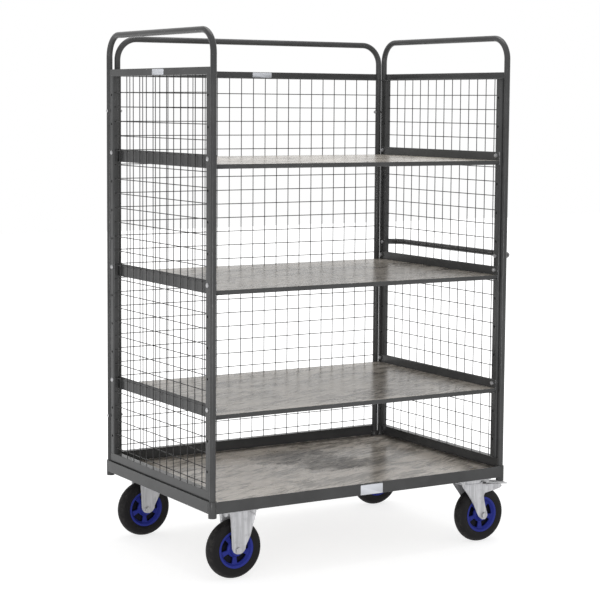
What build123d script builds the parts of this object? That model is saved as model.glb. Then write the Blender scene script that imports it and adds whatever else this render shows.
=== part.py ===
"""Distribution trolley: angle-iron chassis on four castors, mesh panels on three sides, three bolted shelves.

Frame: +X towards the push handle, +Y towards the back panel, +Z up, floor at zero, millimetres.
The origin is on the floor, at the middle of the overall length and of the chassis width.
Places along X are counted from the chassis middle, which lies at chassis_x.
"""
import os
from math import copysign, cos, radians, sin

from build123d import *

os.makedirs("parts", exist_ok=True)

# Chassis
chassis_length = 1200.0
chassis_width = 800.0
rail_height = 40.0
rail_leg = 40.0
rail_thickness = 4.0
rail_cope = 6.0  # how far each rail stops short of the socket's centre
socket_diameter = 28.0
socket_stub = 14.5  # length below the rails
socket_floor = 3.0
socket_clearance = 0.35  # radial, round the hoop's leg
socket_spacing = 28.7  # end hoop's socket to the back hoop's socket, along X
pad_thickness = 4.0
pad_margin = 10.0  # castor pad beyond the castor plate

# Deck
deck_thickness = 22.0
deck_clearance = 0.5
deck_notch_clearance = 1.0
bearer_width = 40.0
bearer_thickness = 8.0
inner_bearer_x = 150.0
outer_bearer_x = 370.0
deck_screw_x = 515.0
deck_screw_y = 310.0
deck_screw_radius = 4.0
deck_screw_head_radius = 8.0
deck_screw_grip = 3.0  # in the castor pad
countersink_slope = 45.0  # degrees

# Panels
tube_diameter = 21.3
tube_wall = 2.0
end_hoop_rise = 1522.0  # top bar's centre above the rails
back_hoop_drop = 10.5  # back hoop below the end hoops
hoop_bend = 75.0
panel_rise = 1403.0  # top edge of the panel's top rail above the chassis rails
panel_gap = 4.0  # panel's bottom rail above the deck
frame_thickness = 3.0
frame_offset = 5.5  # outer face of the panel's angles from the tube's centre plane
top_rail_height = 25.0
bottom_rail_height = 40.0
socket_cope = 1.0  # panel's bottom rail round and above the sockets
panel_rail_leg = 25.0
upright_reach = 41.5  # tube centre to the upright's edge at the opening
upright_depth = 21.5
upright_corner = 6.0
upright_hole_radius = 4.5
upright_hole_line = 14.5  # from the upright's edge at the opening
upright_hole_pitch = 101.6
upright_hole_count = 13
upright_first_hole = 93.8  # above the chassis rails
weld_bite = 1.2  # how far a welded end wraps round its tube
mesh_wire = 3.0
mesh_pitch = 50.8
mesh_top_margin = 56.0  # top rail's lower edge to the first level wire
mesh_levels = 26
end_mesh_wires = 13
back_mesh_wires = 21
panel_bolt_heights = (163.0, 1257.0)  # above the chassis rails
panel_bolt_radius = 3.0
panel_bolt_head_radius = 6.0
panel_bolt_head_height = 3.2
panel_nut_size = 10.0  # across flats
panel_nut_height = 5.0
bolt_clearance = 0.5  # radial, in clearance holes
bolt_end = 3.0  # thread beyond the nut

# Shelves
shelf_slots = (2, 6, 10)  # upright hole that takes each shelf's bolts
shelf_names = ("lower", "middle", "upper")
shelf_front_inset = 25.0  # from the chassis front face
shelf_back_clearance = 1.3  # to the back hoop's legs
shelf_end_height = 45.0
shelf_lip_height = 15.0
shelf_leg = 25.0
shelf_thickness = 3.0
shelf_bolt_rise = 32.0  # from the frame's underside
board_thickness = 12.0
board_clearance = 0.5
shelf_bolt_radius = 4.0
shelf_bolt_head_radius = 8.0
shelf_bolt_head_height = 5.0
shelf_nut_size = 13.0
shelf_nut_height = 6.5
head_taper = 18.0  # slope of a bolt head's side, degrees
hexagon_sides = 6

# Push handle
handle_reach = 53.65  # overall, beyond the chassis end
handle_rise = 753.0  # above the chassis rails
handle_bend = 45.0
handle_insert_length = 6.0

# Wheels
wheel_diameter = 200.0
tyre_width = 50.0
tyre_base_width = 44.0
tyre_crown_drop = 7.0  # shoulder below the crown
tyre_shoulder_width = 38.0
rim_radius = 64.0
rim_depth = 9.0
spoke_thickness = 24.0
web_thickness = 5.0
hub_radius = 21.0
hub_length = 60.0
pocket_inner_radius = 28.0
pocket_outer_radius = 50.0
pocket_count = 5
first_pocket = 90.0  # degrees
pocket_half_angle = 24.0
pocket_corner = 5.0
bearing_radius = 12.0
axle_radius = 6.0
axle_head_size = 19.0
axle_head_height = 7.0
axle_nut_height = 9.0
running_clearance = 0.05

# Castors
castor_headroom = 38.0  # tyre's top to the chassis underside
castor_x = 480.0
castor_y = 335.0
plate_length = 135.0
plate_width = 110.0
plate_thickness = 5.0
plate_corner = 8.0
plate_hole_x = 105.0
plate_hole_y = 90.0
castor_stud_radius = 5.0
castor_nut_size = 16.0
castor_nut_height = 8.0
hub_gap = 0.5  # hub's end face to the fork leg
leg_thickness = 4.0
# Fixed leg's outline: distance behind the axle, height above it; the tip's centre is a little above the axle
fixed_leg_front = -33.0
fixed_leg_rear = 67.0
fixed_rear_edge = ((53.0, 82.0), (45.5, 48.0))
fixed_tip_centre = (3.5, 12.0)
fixed_tip_radius = 26.0
swivel_tip_radius = 16.5
trail = 50.0
crown_radius = 50.0
crown_thickness = 4.0
skirt_width = 4.0
skirt_gap = 0.6
race_radius = 34.0
race_width = 16.0
race_height = 3.0
ball_diameter = 8.0
ball_count = 16
kingpin_radius = 8.0
kingpin_head_radius = 14.0
kingpin_head_height = 8.0
moving_gap = 0.4
# Swivel leg's outline: distance behind the swivel axis, height from the tyre's top
leg_lead_edge = (
    (-46.0, 17.0), (-35.0, 1.0), (-17.0, -22.0), (-4.0, -41.0), (10.0, -64.0), (19.0, -86.0), (28.0, -103.0),
    (38.0, -112.0),
)
leg_rear_edge = (
    (61.0, -74.0), (54.0, -45.0), (52.0, -30.0), (58.0, -20.0), (76.0, -17.0), (103.0, -13.0), (126.0, -8.0),
    (133.0, -2.0), (126.0, 6.0), (46.0, 14.0),
)
leg_rear_top = 46.0

# Brake pedals
pivot_x = 65.0  # behind the swivel axis
pivot_rise = 8.0  # above the tyre's top
pedal_pin_radius = 4.0
pedal_pin_end = 2.0  # beyond each leg
pedal_barrel_radius = 6.8
pedal_width = 52.0
pedal_length = 95.0
pedal_drop = 7.0  # tip below the pivot
pedal_thickness = 5.0
pedal_root_height = 2.0  # lever's underside above the pivot, at the root
shoe_near = 18.0  # from the pivot
shoe_far = 34.0
shoe_drop = 8.5

# Levels and places that follow from the sizes above
half_length = chassis_length / 2
half_width = chassis_width / 2
chassis_x = -handle_reach / 2
wheel_radius = wheel_diameter / 2
chassis_bottom = wheel_diameter + castor_headroom
chassis_top = chassis_bottom + rail_height
leg_top = chassis_bottom + rail_thickness
deck_top = leg_top + deck_thickness
rail_inner_x = half_length - rail_thickness
rail_inner_y = half_width - rail_thickness
socket_radius = socket_diameter / 2
tube_radius = tube_diameter / 2
tube_x = half_length - socket_radius
tube_y = half_width - socket_radius
back_tube_x = tube_x - socket_spacing
back_tube_y = rail_inner_y - socket_radius
hoop_bottom = chassis_bottom - socket_stub + socket_floor
back_hoop_bottom = chassis_bottom + socket_floor
end_hoop_top = chassis_top + end_hoop_rise
back_hoop_top = end_hoop_top - back_hoop_drop
frame_x = tube_x + frame_offset
frame_y = back_tube_y + frame_offset
heel_y = tube_y - upright_reach
opening_bottom = deck_top + panel_gap + bottom_rail_height
opening_top = chassis_top + panel_rise - top_rail_height
first_hole = chassis_top + upright_first_hole
hole_rows_middle = first_hole + upright_hole_pitch * (upright_hole_count - 1) / 2
bolt_line = heel_y + upright_hole_line
weld_y = tube_y - tube_radius + weld_bite
back_weld_x = back_tube_x - tube_radius + weld_bite
panel_bolt_y = (tube_y + back_tube_y) / 2
panel_grip = socket_spacing + 2 * tube_radius
shelf_x = frame_x - upright_depth
shelf_inner_x = shelf_x - shelf_thickness
shelf_front_y = shelf_front_inset - half_width
shelf_back_y = back_tube_y - tube_radius - shelf_back_clearance
handle_z = chassis_top + handle_rise
handle_bar_x = half_length + handle_reach - tube_radius
plate_bottom = chassis_bottom - plate_thickness
leg_inner = hub_length / 2 + hub_gap
leg_outer = leg_inner + leg_thickness
crown_top = plate_bottom - race_height - ball_diameter - 2 * running_clearance
crown_bottom = crown_top - crown_thickness
pivot_z = wheel_diameter + pivot_rise
ends = (-1, 1)
corners = [(sx, sy) for sx in ends for sy in ends]
castor_places = [(chassis_x + sx * castor_x, sy * castor_y) for sx, sy in corners]
fixed_places = castor_places[:2]
swivel_places = castor_places[2:]
castor_names = ("front_left", "back_left", "front_right", "back_right")


def facing(x, y, z, direction):
    """Plane at a point given from the chassis middle, with its normal along the direction."""
    return Plane(origin=(chassis_x + x, y, z), z_dir=direction)


def side_plane(x, y):
    """Upright plane through a castor: its axes are X and Z, its normal points to the front."""
    return Plane(origin=(x, y, 0), x_dir=(1, 0, 0), z_dir=(0, -1, 0))


def cross_plane(x):
    """Upright plane across the trolley: its axes are Y and Z, its normal is +X."""
    return Plane(origin=(chassis_x + x, 0, 0), x_dir=(0, 1, 0), z_dir=(1, 0, 0))


def front_plane(y):
    """Upright plane along the trolley: its axes are X and Z, its normal points to the front."""
    return Plane(origin=(chassis_x, y, 0), x_dir=(1, 0, 0), z_dir=(0, -1, 0))


def level(z):
    """Level plane at a height, with its origin at the chassis middle."""
    return Plane(origin=(chassis_x, 0, z))


def angle_bar(plane, length, across, up, thickness):
    """Angle bar with its heel on the plane's origin and its legs along the axes; minus turns a leg round."""
    across_step = copysign(thickness, across)
    up_step = copysign(thickness, up)
    with BuildPart() as bar:
        with BuildSketch(plane):
            with BuildLine():
                Polyline(
                    (0, 0), (across, 0), (across, up_step),
                    (across_step, up_step), (across_step, up), (0, up),
                    close=True,
                )
            make_face()
        extrude(amount=length)
    return bar.part


def domed_bolts(planes, head_radius, head_height, radius, length):
    """Bolts with sloped round heads: each head lies along its plane's normal, the shank the other way."""
    with BuildPart() as made:
        with BuildSketch(*planes):
            Circle(head_radius)
        extrude(amount=head_height, taper=head_taper)
        with BuildSketch(*planes):
            Circle(radius)
        extrude(amount=-length)
    return made.part


def hex_bolts(planes, size, head_height, radius, length):
    """Hexagon bolts: each head lies along its plane's normal, the shank the other way."""
    with BuildPart() as made:
        with BuildSketch(*planes):
            RegularPolygon(size / 2, hexagon_sides, major_radius=False)
        extrude(amount=head_height)
        with BuildSketch(*planes):
            Circle(radius)
        extrude(amount=-length)
    return made.part


def hex_nuts(planes, size, height, radius):
    """Hexagon nuts that lie along each plane's normal."""
    with BuildPart() as made:
        with BuildSketch(*planes):
            RegularPolygon(size / 2, hexagon_sides, major_radius=False)
            Circle(radius, mode=Mode.SUBTRACT)
        extrude(amount=height)
    return made.part


def bent_tube(points, bend, start_direction):
    """Round tube swept along a line through the points, with its corners bent to one radius."""
    with BuildPart() as tube:
        with BuildLine():
            FilletPolyline(*points, radius=bend)
        with BuildSketch(Plane(origin=points[0], z_dir=start_direction)):
            Circle(tube_radius)
            Circle(tube_radius - tube_wall, mode=Mode.SUBTRACT)
        sweep()
    return tube.part


def save(part, name):
    """Label a finished piece and write its file."""
    part.label = name
    export_step(part, f"parts/{name}.step")


def save_group(solids, name):
    """Label several separate solids as one piece and write its file."""
    save(Compound(solids), name)


# Socket centres: end hoops first, then the back hoop's pair
end_socket_places = [(sx * tube_x, sy * tube_y) for sx, sy in corners]
back_socket_places = [(sx * back_tube_x, back_tube_y) for sx in ends]
socket_places = end_socket_places + back_socket_places
castor_hole_places = [
    (sx * castor_x + hx * plate_hole_x / 2, sy * castor_y + hy * plate_hole_y / 2)
    for sx, sy in corners
    for hx, hy in corners
]

deck_screw_places = [(sx * deck_screw_x, sy * deck_screw_y) for sx, sy in corners]

# Long rails of the chassis, coped round the sockets and drilled for the castors' studs
with BuildPart() as long_rails:
    for side in ends:
        rail_start = Plane(
            origin=(chassis_x - tube_x + rail_cope, side * half_width, chassis_bottom),
            x_dir=(0, 1, 0),
            z_dir=(1, 0, 0),
        )
        add(angle_bar(rail_start, 2 * (tube_x - rail_cope), -side * rail_leg, rail_height, rail_thickness))
    with BuildSketch(level(chassis_bottom)):
        with Locations(*socket_places):
            Circle(socket_radius)
    extrude(amount=rail_height, mode=Mode.SUBTRACT)
    with BuildSketch(level(chassis_bottom)):
        with Locations(*castor_hole_places):
            Circle(castor_stud_radius)
    extrude(amount=rail_thickness, mode=Mode.SUBTRACT)
save(long_rails.part, "chassis_long_rails")

# End rails: the level leg stops at the long rails' legs, the upright leg goes on to the sockets
with BuildPart() as end_rails:
    for side in ends:
        rail_back = half_width - rail_leg
        end_start = Plane(
            origin=(chassis_x + side * half_length, rail_back, chassis_bottom),
            x_dir=(1, 0, 0),
            z_dir=(0, -1, 0),
        )
        add(angle_bar(end_start, 2 * rail_back, -side * rail_leg, rail_height, rail_thickness))
        with BuildSketch(cross_plane(side * half_length)):
            with Locations((0, chassis_bottom + rail_height / 2)):
                Rectangle(2 * (tube_y - rail_cope), rail_height)
        extrude(amount=-side * rail_thickness)
    with BuildSketch(level(chassis_bottom)):
        with Locations(*end_socket_places):
            Circle(socket_radius)
    extrude(amount=rail_height, mode=Mode.SUBTRACT)
save(end_rails.part, "chassis_end_rails")

# Sockets that take the hoops' legs, closed at the foot; the back pair stops above the castor plates
with BuildPart() as corner_sockets:
    for places, foot, floor_top in (
        (end_socket_places, chassis_bottom - socket_stub, hoop_bottom),
        (back_socket_places, chassis_bottom, back_hoop_bottom),
    ):
        with BuildSketch(level(foot)):
            with Locations(*places):
                Circle(socket_radius)
        extrude(amount=chassis_top - foot)
        with BuildSketch(level(floor_top)):
            with Locations(*places):
                Circle(tube_radius + socket_clearance)
        extrude(amount=chassis_top - floor_top, mode=Mode.SUBTRACT)
save(corner_sockets.part, "corner_sockets")

# Castor pads between the rails' level legs, drilled for the castors' studs and the deck screws
pad_outer_x = half_length - rail_leg
pad_outer_y = half_width - rail_leg
pad_inner_x = castor_x - plate_length / 2 - pad_margin
pad_inner_y = castor_y - plate_width / 2 - pad_margin
with BuildPart() as castor_pads:
    with BuildSketch(level(chassis_bottom)):
        with Locations(*[
            (sx * (pad_outer_x + pad_inner_x) / 2, sy * (pad_outer_y + pad_inner_y) / 2) for sx, sy in corners
        ]):
            Rectangle(pad_outer_x - pad_inner_x, pad_outer_y - pad_inner_y)
        with Locations(*castor_hole_places):
            Circle(castor_stud_radius, mode=Mode.SUBTRACT)
        with Locations(*deck_screw_places):
            Circle(deck_screw_radius, mode=Mode.SUBTRACT)
    extrude(amount=pad_thickness)
save(castor_pads.part, "castor_pads")

# Deck bearers: flat bars across, welded to the edges of the long rails' level legs
bearer_places = (-outer_bearer_x, -inner_bearer_x, inner_bearer_x, outer_bearer_x)
with BuildPart() as deck_bearers:
    with BuildSketch(level(leg_top)):
        with Locations(*[(x, 0) for x in bearer_places]):
            Rectangle(bearer_width, 2 * pad_outer_y)
    extrude(amount=-bearer_thickness)
save(deck_bearers.part, "deck_bearers")

# Deck board, let into the chassis on the rails' level legs and notched round the sockets
countersink = deck_screw_head_radius - deck_screw_radius
with BuildPart() as deck_board:
    with BuildSketch(level(leg_top)):
        Rectangle(2 * (rail_inner_x - deck_clearance), 2 * (rail_inner_y - deck_clearance))
        with Locations(*socket_places):
            Circle(socket_radius + deck_notch_clearance, mode=Mode.SUBTRACT)
        with Locations(*[(side * (tube_x - socket_spacing / 2), rail_inner_y) for side in ends]):
            Rectangle(socket_spacing, 2 * (rail_inner_y - back_tube_y), mode=Mode.SUBTRACT)
        with Locations(*deck_screw_places):
            Circle(deck_screw_radius, mode=Mode.SUBTRACT)
    extrude(amount=deck_thickness)
    with BuildSketch(level(deck_top)):
        with Locations(*deck_screw_places):
            Circle(deck_screw_head_radius)
    extrude(amount=-countersink, taper=countersink_slope, mode=Mode.SUBTRACT)
save(deck_board.part, "deck_board")

# Countersunk deck screws into the castor pads
with BuildPart() as deck_screws:
    with BuildSketch(level(deck_top)):
        with Locations(*deck_screw_places):
            Circle(deck_screw_radius)
    extrude(amount=-deck_thickness - deck_screw_grip)
    with BuildSketch(level(deck_top)):
        with Locations(*deck_screw_places):
            Circle(deck_screw_head_radius)
    extrude(amount=-countersink + running_clearance, taper=countersink_slope)
save(deck_screws.part, "deck_screws")


def panel_bolt_holes(height):
    """Planes of the cross bolts' holes, on the mid line of the paired tubes."""
    return [facing(side * tube_x, panel_bolt_y, chassis_top + height, (side, 0, 0)) for side in ends]


# Hoops of the end panels and of the back panel, drilled for the cross bolts
panel_hole_planes = [plane for height in panel_bolt_heights for plane in panel_bolt_holes(height)]
for end_name, side in (("left", -1), ("right", 1)):
    hoop_x = chassis_x + side * tube_x
    end_path = [
        (hoop_x, -tube_y, hoop_bottom),
        (hoop_x, -tube_y, end_hoop_top),
        (hoop_x, tube_y, end_hoop_top),
        (hoop_x, tube_y, hoop_bottom),
    ]
    with BuildPart() as end_hoop:
        add(bent_tube(end_path, hoop_bend, (0, 0, 1)))
        with BuildSketch(*panel_hole_planes):
            Circle(panel_bolt_radius + bolt_clearance)
        extrude(amount=panel_grip, both=True, mode=Mode.SUBTRACT)
    save(end_hoop.part, f"{end_name}_hoop")

back_path = [
    (chassis_x - back_tube_x, back_tube_y, back_hoop_bottom),
    (chassis_x - back_tube_x, back_tube_y, back_hoop_top),
    (chassis_x + back_tube_x, back_tube_y, back_hoop_top),
    (chassis_x + back_tube_x, back_tube_y, back_hoop_bottom),
]
with BuildPart() as back_hoop:
    add(bent_tube(back_path, hoop_bend, (0, 0, 1)))
    with BuildSketch(*panel_hole_planes):
        Circle(panel_bolt_radius + bolt_clearance)
    extrude(amount=panel_grip, both=True, mode=Mode.SUBTRACT)
save(back_hoop.part, "back_hoop")


def upright(side, face):
    """Punched box upright beside an end hoop's leg, coped round it and drilled through both side walls."""
    width = weld_y - heel_y
    two_walls = 2 * frame_thickness
    hollow_depth = upright_depth - two_walls
    hollow_corner = upright_corner - frame_thickness
    height = opening_top - opening_bottom
    middle = (side * (frame_x - upright_depth / 2), face * (heel_y + weld_y) / 2)
    with BuildPart() as bar:
        with BuildSketch(level(opening_bottom)):
            with Locations(middle):
                RectangleRounded(upright_depth, width, upright_corner)
                RectangleRounded(hollow_depth, width - two_walls, hollow_corner, mode=Mode.SUBTRACT)
            with Locations((side * tube_x, face * tube_y)):
                Circle(tube_radius, mode=Mode.SUBTRACT)
        extrude(amount=height)
        with BuildSketch(cross_plane(side * frame_x)):
            with Locations((face * bolt_line, hole_rows_middle)):
                with GridLocations(upright_hole_pitch, upright_hole_pitch, 1, upright_hole_count):
                    Circle(upright_hole_radius)
            if side > 0:
                with Locations((face * bolt_line, handle_z)):
                    Circle(upright_hole_radius)
        extrude(amount=-side * upright_depth, mode=Mode.SUBTRACT)
    return bar.part


def end_panel_rail(side, heel_z, up):
    """Angle rail between an end hoop's legs, with its heel at the opening's edge.

    The bottom rail hangs down behind the chassis rail, so it's coped round the sockets too.
    """
    start = Plane(
        origin=(chassis_x + side * frame_x, weld_y, heel_z), x_dir=(1, 0, 0), z_dir=(0, -1, 0)
    )
    with BuildPart() as bar:
        add(angle_bar(start, 2 * weld_y, -side * panel_rail_leg, up, frame_thickness))
        with BuildSketch(level(heel_z)):
            with Locations(*[(side * tube_x, face * tube_y) for face in ends]):
                Circle(tube_radius)
        extrude(amount=up, mode=Mode.SUBTRACT)
        if up < 0:
            with BuildSketch(level(chassis_top + socket_cope)):
                with Locations(*end_socket_places):
                    Circle(socket_radius + socket_cope)
            extrude(amount=up, mode=Mode.SUBTRACT)
    return bar.part


def back_panel_rail(heel_z, up):
    """Angle rail between the back hoop's legs, with its heel at the opening's edge.

    The bottom rail is coped round the sockets as on the end panels.
    """
    start = Plane(
        origin=(chassis_x - back_weld_x, frame_y, heel_z), x_dir=(0, 1, 0), z_dir=(1, 0, 0)
    )
    with BuildPart() as bar:
        add(angle_bar(start, 2 * back_weld_x, -panel_rail_leg, up, frame_thickness))
        with BuildSketch(level(heel_z)):
            with Locations(*back_socket_places):
                Circle(tube_radius)
        extrude(amount=up, mode=Mode.SUBTRACT)
        if up < 0:
            with BuildSketch(level(chassis_top + socket_cope)):
                with Locations(*back_socket_places):
                    Circle(socket_radius + socket_cope)
            extrude(amount=up, mode=Mode.SUBTRACT)
    return bar.part


def mesh_sheet(plane, half_span, first_wire, wires):
    """Welded mesh as one holed sheet: the wires' ends stand out all round and meet the frame."""
    half_wire = mesh_wire / 2
    top_wire = opening_top - mesh_top_margin
    columns = [first_wire + mesh_pitch * i for i in range(wires)]
    rows = [top_wire - mesh_pitch * i for i in reversed(range(mesh_levels))]
    left, right = columns[0] - half_wire, columns[-1] + half_wire
    low, high = rows[0] - half_wire, rows[-1] + half_wire
    outline = []
    for x in columns:
        outline += [(x - half_wire, low), (x - half_wire, opening_bottom)]
        outline += [(x + half_wire, opening_bottom), (x + half_wire, low)]
    for z in rows:
        outline += [(right, z - half_wire), (half_span, z - half_wire)]
        outline += [(half_span, z + half_wire), (right, z + half_wire)]
    for x in reversed(columns):
        outline += [(x + half_wire, high), (x + half_wire, opening_top)]
        outline += [(x - half_wire, opening_top), (x - half_wire, high)]
    for z in reversed(rows):
        outline += [(left, z + half_wire), (-half_span, z + half_wire)]
        outline += [(-half_span, z - half_wire), (left, z - half_wire)]
    outline = [point for point, last in zip(outline, outline[-1:] + outline) if point != last]
    cell = mesh_pitch - mesh_wire
    holes = [
        Wire.make_rect(cell, cell, Plane(origin=(x + mesh_pitch / 2, z + mesh_pitch / 2, 0)))
        for x in columns[:-1]
        for z in rows[:-1]
    ]
    holed_face = Face(Wire.make_polygon(outline, close=True), holes)
    with BuildPart() as sheet:
        with BuildSketch(plane.offset(-half_wire)):
            add(holed_face)
        extrude(amount=mesh_wire)
    return sheet.part


# Uprights, rails and mesh of the end panels
for end_name, side in (("left", -1), ("right", 1)):
    save_group([upright(side, face) for face in ends], f"{end_name}_uprights")
    end_rail_pair = [
        end_panel_rail(side, opening_top, top_rail_height),
        end_panel_rail(side, opening_bottom, -bottom_rail_height),
    ]
    save_group(end_rail_pair, f"{end_name}_panel_rails")
    end_first_wire = heel_y - mesh_pitch * end_mesh_wires
    save(mesh_sheet(cross_plane(side * tube_x), heel_y, end_first_wire, end_mesh_wires), f"{end_name}_mesh")

# Rails and mesh of the back panel
back_rail_pair = [
    back_panel_rail(opening_top, top_rail_height),
    back_panel_rail(opening_bottom, -bottom_rail_height),
]
save_group(back_rail_pair, "back_panel_rails")
back_first_wire = -mesh_pitch * (back_mesh_wires - 1) / 2
back_half_span = back_tube_x - tube_radius
save(mesh_sheet(front_plane(back_tube_y), back_half_span, back_first_wire, back_mesh_wires), "back_mesh")

# Cross bolts through the paired tubes at the back corners
panel_head_planes = [
    facing(side * (tube_x + tube_radius), panel_bolt_y, chassis_top + height, (side, 0, 0))
    for height in panel_bolt_heights
    for side in ends
]
panel_nut_planes = [
    facing(side * (back_tube_x - tube_radius), panel_bolt_y, chassis_top + height, (-side, 0, 0))
    for height in panel_bolt_heights
    for side in ends
]
panel_bolt_length = panel_grip + panel_nut_height + bolt_end
panel_bolts = domed_bolts(
    panel_head_planes, panel_bolt_head_radius, panel_bolt_head_height, panel_bolt_radius, panel_bolt_length
)
save(panel_bolts, "panel_bolts")
save(hex_nuts(panel_nut_planes, panel_nut_size, panel_nut_height, panel_bolt_radius), "panel_nuts")


def shelf_end_rail(side, bottom):
    """High end angle of a shelf frame, drilled for its two bolts."""
    start = Plane(
        origin=(chassis_x + side * shelf_x, shelf_back_y, bottom), x_dir=(1, 0, 0), z_dir=(0, -1, 0)
    )
    length = shelf_back_y - shelf_front_y
    with BuildPart() as bar:
        add(angle_bar(start, length, -side * shelf_leg, shelf_end_height, shelf_thickness))
        with BuildSketch(cross_plane(side * shelf_x)):
            with Locations(*[(face * bolt_line, bottom + shelf_bolt_rise) for face in ends]):
                Circle(shelf_bolt_radius + bolt_clearance)
        extrude(amount=-side * shelf_thickness, mode=Mode.SUBTRACT)
    return bar.part


def shelf_lip(face_y, inward, bottom):
    """Low front or back angle of a shelf frame, cut away under its ends to sit on the end angles."""
    start = Plane(
        origin=(chassis_x - shelf_inner_x, face_y, bottom), x_dir=(0, 1, 0), z_dir=(1, 0, 0)
    )
    step = shelf_leg - shelf_thickness
    with BuildPart() as bar:
        add(angle_bar(start, 2 * shelf_inner_x, inward * shelf_leg, shelf_lip_height, shelf_thickness))
        with BuildSketch(level(bottom)):
            with Locations(*[(side * (shelf_inner_x - step / 2), face_y) for side in ends]):
                Rectangle(step, 2 * shelf_leg)
        extrude(amount=shelf_thickness, mode=Mode.SUBTRACT)
    return bar.part


# Shelves: welded frame of four angles, and the board let into it
shelf_bolt_levels = [first_hole + slot * upright_hole_pitch for slot in shelf_slots]
for shelf_name, bolt_z in zip(shelf_names, shelf_bolt_levels):
    shelf_bottom = bolt_z - shelf_bolt_rise
    shelf_frame = [
        shelf_end_rail(-1, shelf_bottom),
        shelf_end_rail(1, shelf_bottom),
        shelf_lip(shelf_front_y, 1, shelf_bottom),
        shelf_lip(shelf_back_y, -1, shelf_bottom),
    ]
    save_group(shelf_frame, f"{shelf_name}_shelf_frame")
    board_width = shelf_back_y - shelf_front_y - 2 * shelf_thickness - 2 * board_clearance
    with BuildPart() as board:
        with BuildSketch(level(shelf_bottom + shelf_thickness)):
            with Locations((0, (shelf_front_y + shelf_back_y) / 2)):
                Rectangle(2 * (shelf_inner_x - board_clearance), board_width)
        extrude(amount=board_thickness)
    save(board.part, f"{shelf_name}_shelf_board")

# Shelf bolts from outside the uprights, nuts inside the shelf's end angles
shelf_head_planes = [
    facing(side * frame_x, face * bolt_line, bolt_z, (side, 0, 0))
    for bolt_z in shelf_bolt_levels
    for side, face in corners
]
shelf_nut_planes = [
    facing(side * shelf_inner_x, face * bolt_line, bolt_z, (-side, 0, 0))
    for bolt_z in shelf_bolt_levels
    for side, face in corners
]
shelf_bolt_length = frame_x - shelf_inner_x + shelf_nut_height + bolt_end
shelf_bolts = domed_bolts(
    shelf_head_planes, shelf_bolt_head_radius, shelf_bolt_head_height, shelf_bolt_radius, shelf_bolt_length
)
save(shelf_bolts, "shelf_bolts")
save(hex_nuts(shelf_nut_planes, shelf_nut_size, shelf_nut_height, shelf_bolt_radius), "shelf_nuts")

# Push handle, its threaded inserts and the bolts into them from inside the uprights
handle_path = [
    (chassis_x + frame_x, -bolt_line, handle_z),
    (chassis_x + handle_bar_x, -bolt_line, handle_z),
    (chassis_x + handle_bar_x, bolt_line, handle_z),
    (chassis_x + frame_x, bolt_line, handle_z),
]
save(bent_tube(handle_path, handle_bend, (1, 0, 0)), "push_handle")

insert_planes = [facing(frame_x, face * bolt_line, handle_z, (1, 0, 0)) for face in ends]
with BuildPart() as handle_inserts:
    with BuildSketch(*insert_planes):
        Circle(tube_radius - tube_wall)
        Circle(shelf_bolt_radius, mode=Mode.SUBTRACT)
    extrude(amount=handle_insert_length)
save(handle_inserts.part, "handle_inserts")

handle_bolt_planes = [facing(shelf_x, face * bolt_line, handle_z, (-1, 0, 0)) for face in ends]
handle_bolts = hex_bolts(
    handle_bolt_planes, shelf_nut_size, shelf_bolt_head_height, shelf_bolt_radius,
    upright_depth + handle_insert_length,
)
save(handle_bolts, "handle_bolts")

# Castor studs welded flush into the rails' legs and the pads, nuts under the castor plates
castor_stud_length = rail_thickness + plate_thickness + castor_nut_height + bolt_end
with BuildPart() as castor_studs:
    with BuildSketch(level(leg_top)):
        with Locations(*castor_hole_places):
            Circle(castor_stud_radius)
    extrude(amount=-castor_stud_length)
save(castor_studs.part, "castor_studs")
castor_nut_planes = [facing(x, y, plate_bottom, (0, 0, -1)) for x, y in castor_hole_places]
save(hex_nuts(castor_nut_planes, castor_nut_size, castor_nut_height, castor_stud_radius), "castor_nuts")


def castor_plate(x, y):
    """Rounded castor plate under the chassis, with its four bolt holes."""
    with BuildPart() as plate:
        with BuildSketch(Plane(origin=(x, y, plate_bottom))):
            RectangleRounded(plate_length, plate_width, plate_corner)
            with GridLocations(plate_hole_x, plate_hole_y, 2, 2):
                Circle(castor_stud_radius + bolt_clearance, mode=Mode.SUBTRACT)
        extrude(amount=plate_thickness)
    return plate.part


def leg_planes(x, y):
    """Planes of a fork's two legs, each at its leg's back face."""
    return [side_plane(x, y + leg_outer), side_plane(x, y - leg_inner)]


def fixed_fork(x, y):
    """Fixed castor's fork: the plate with two tapered legs welded under it."""
    tip = (fixed_tip_centre[0], wheel_radius + fixed_tip_centre[1])
    rear = [(px, wheel_radius + pz) for px, pz in fixed_rear_edge]
    tip_front = (tip[0] - fixed_tip_radius, tip[1])
    tip_rear = (tip[0] + fixed_tip_radius, tip[1])
    top = [(fixed_leg_rear, plate_bottom), (fixed_leg_front, plate_bottom)]
    with BuildPart() as fork:
        add(castor_plate(x, y))
        with BuildSketch(*leg_planes(x, y)):
            with BuildLine():
                Polyline(tip_front, tip_rear, *reversed(rear), *top, close=True)
            make_face()
            with Locations(tip):
                Circle(fixed_tip_radius)
            with Locations((0, wheel_radius)):
                Circle(axle_radius, mode=Mode.SUBTRACT)
        extrude(amount=leg_thickness)
    return fork.part


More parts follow.
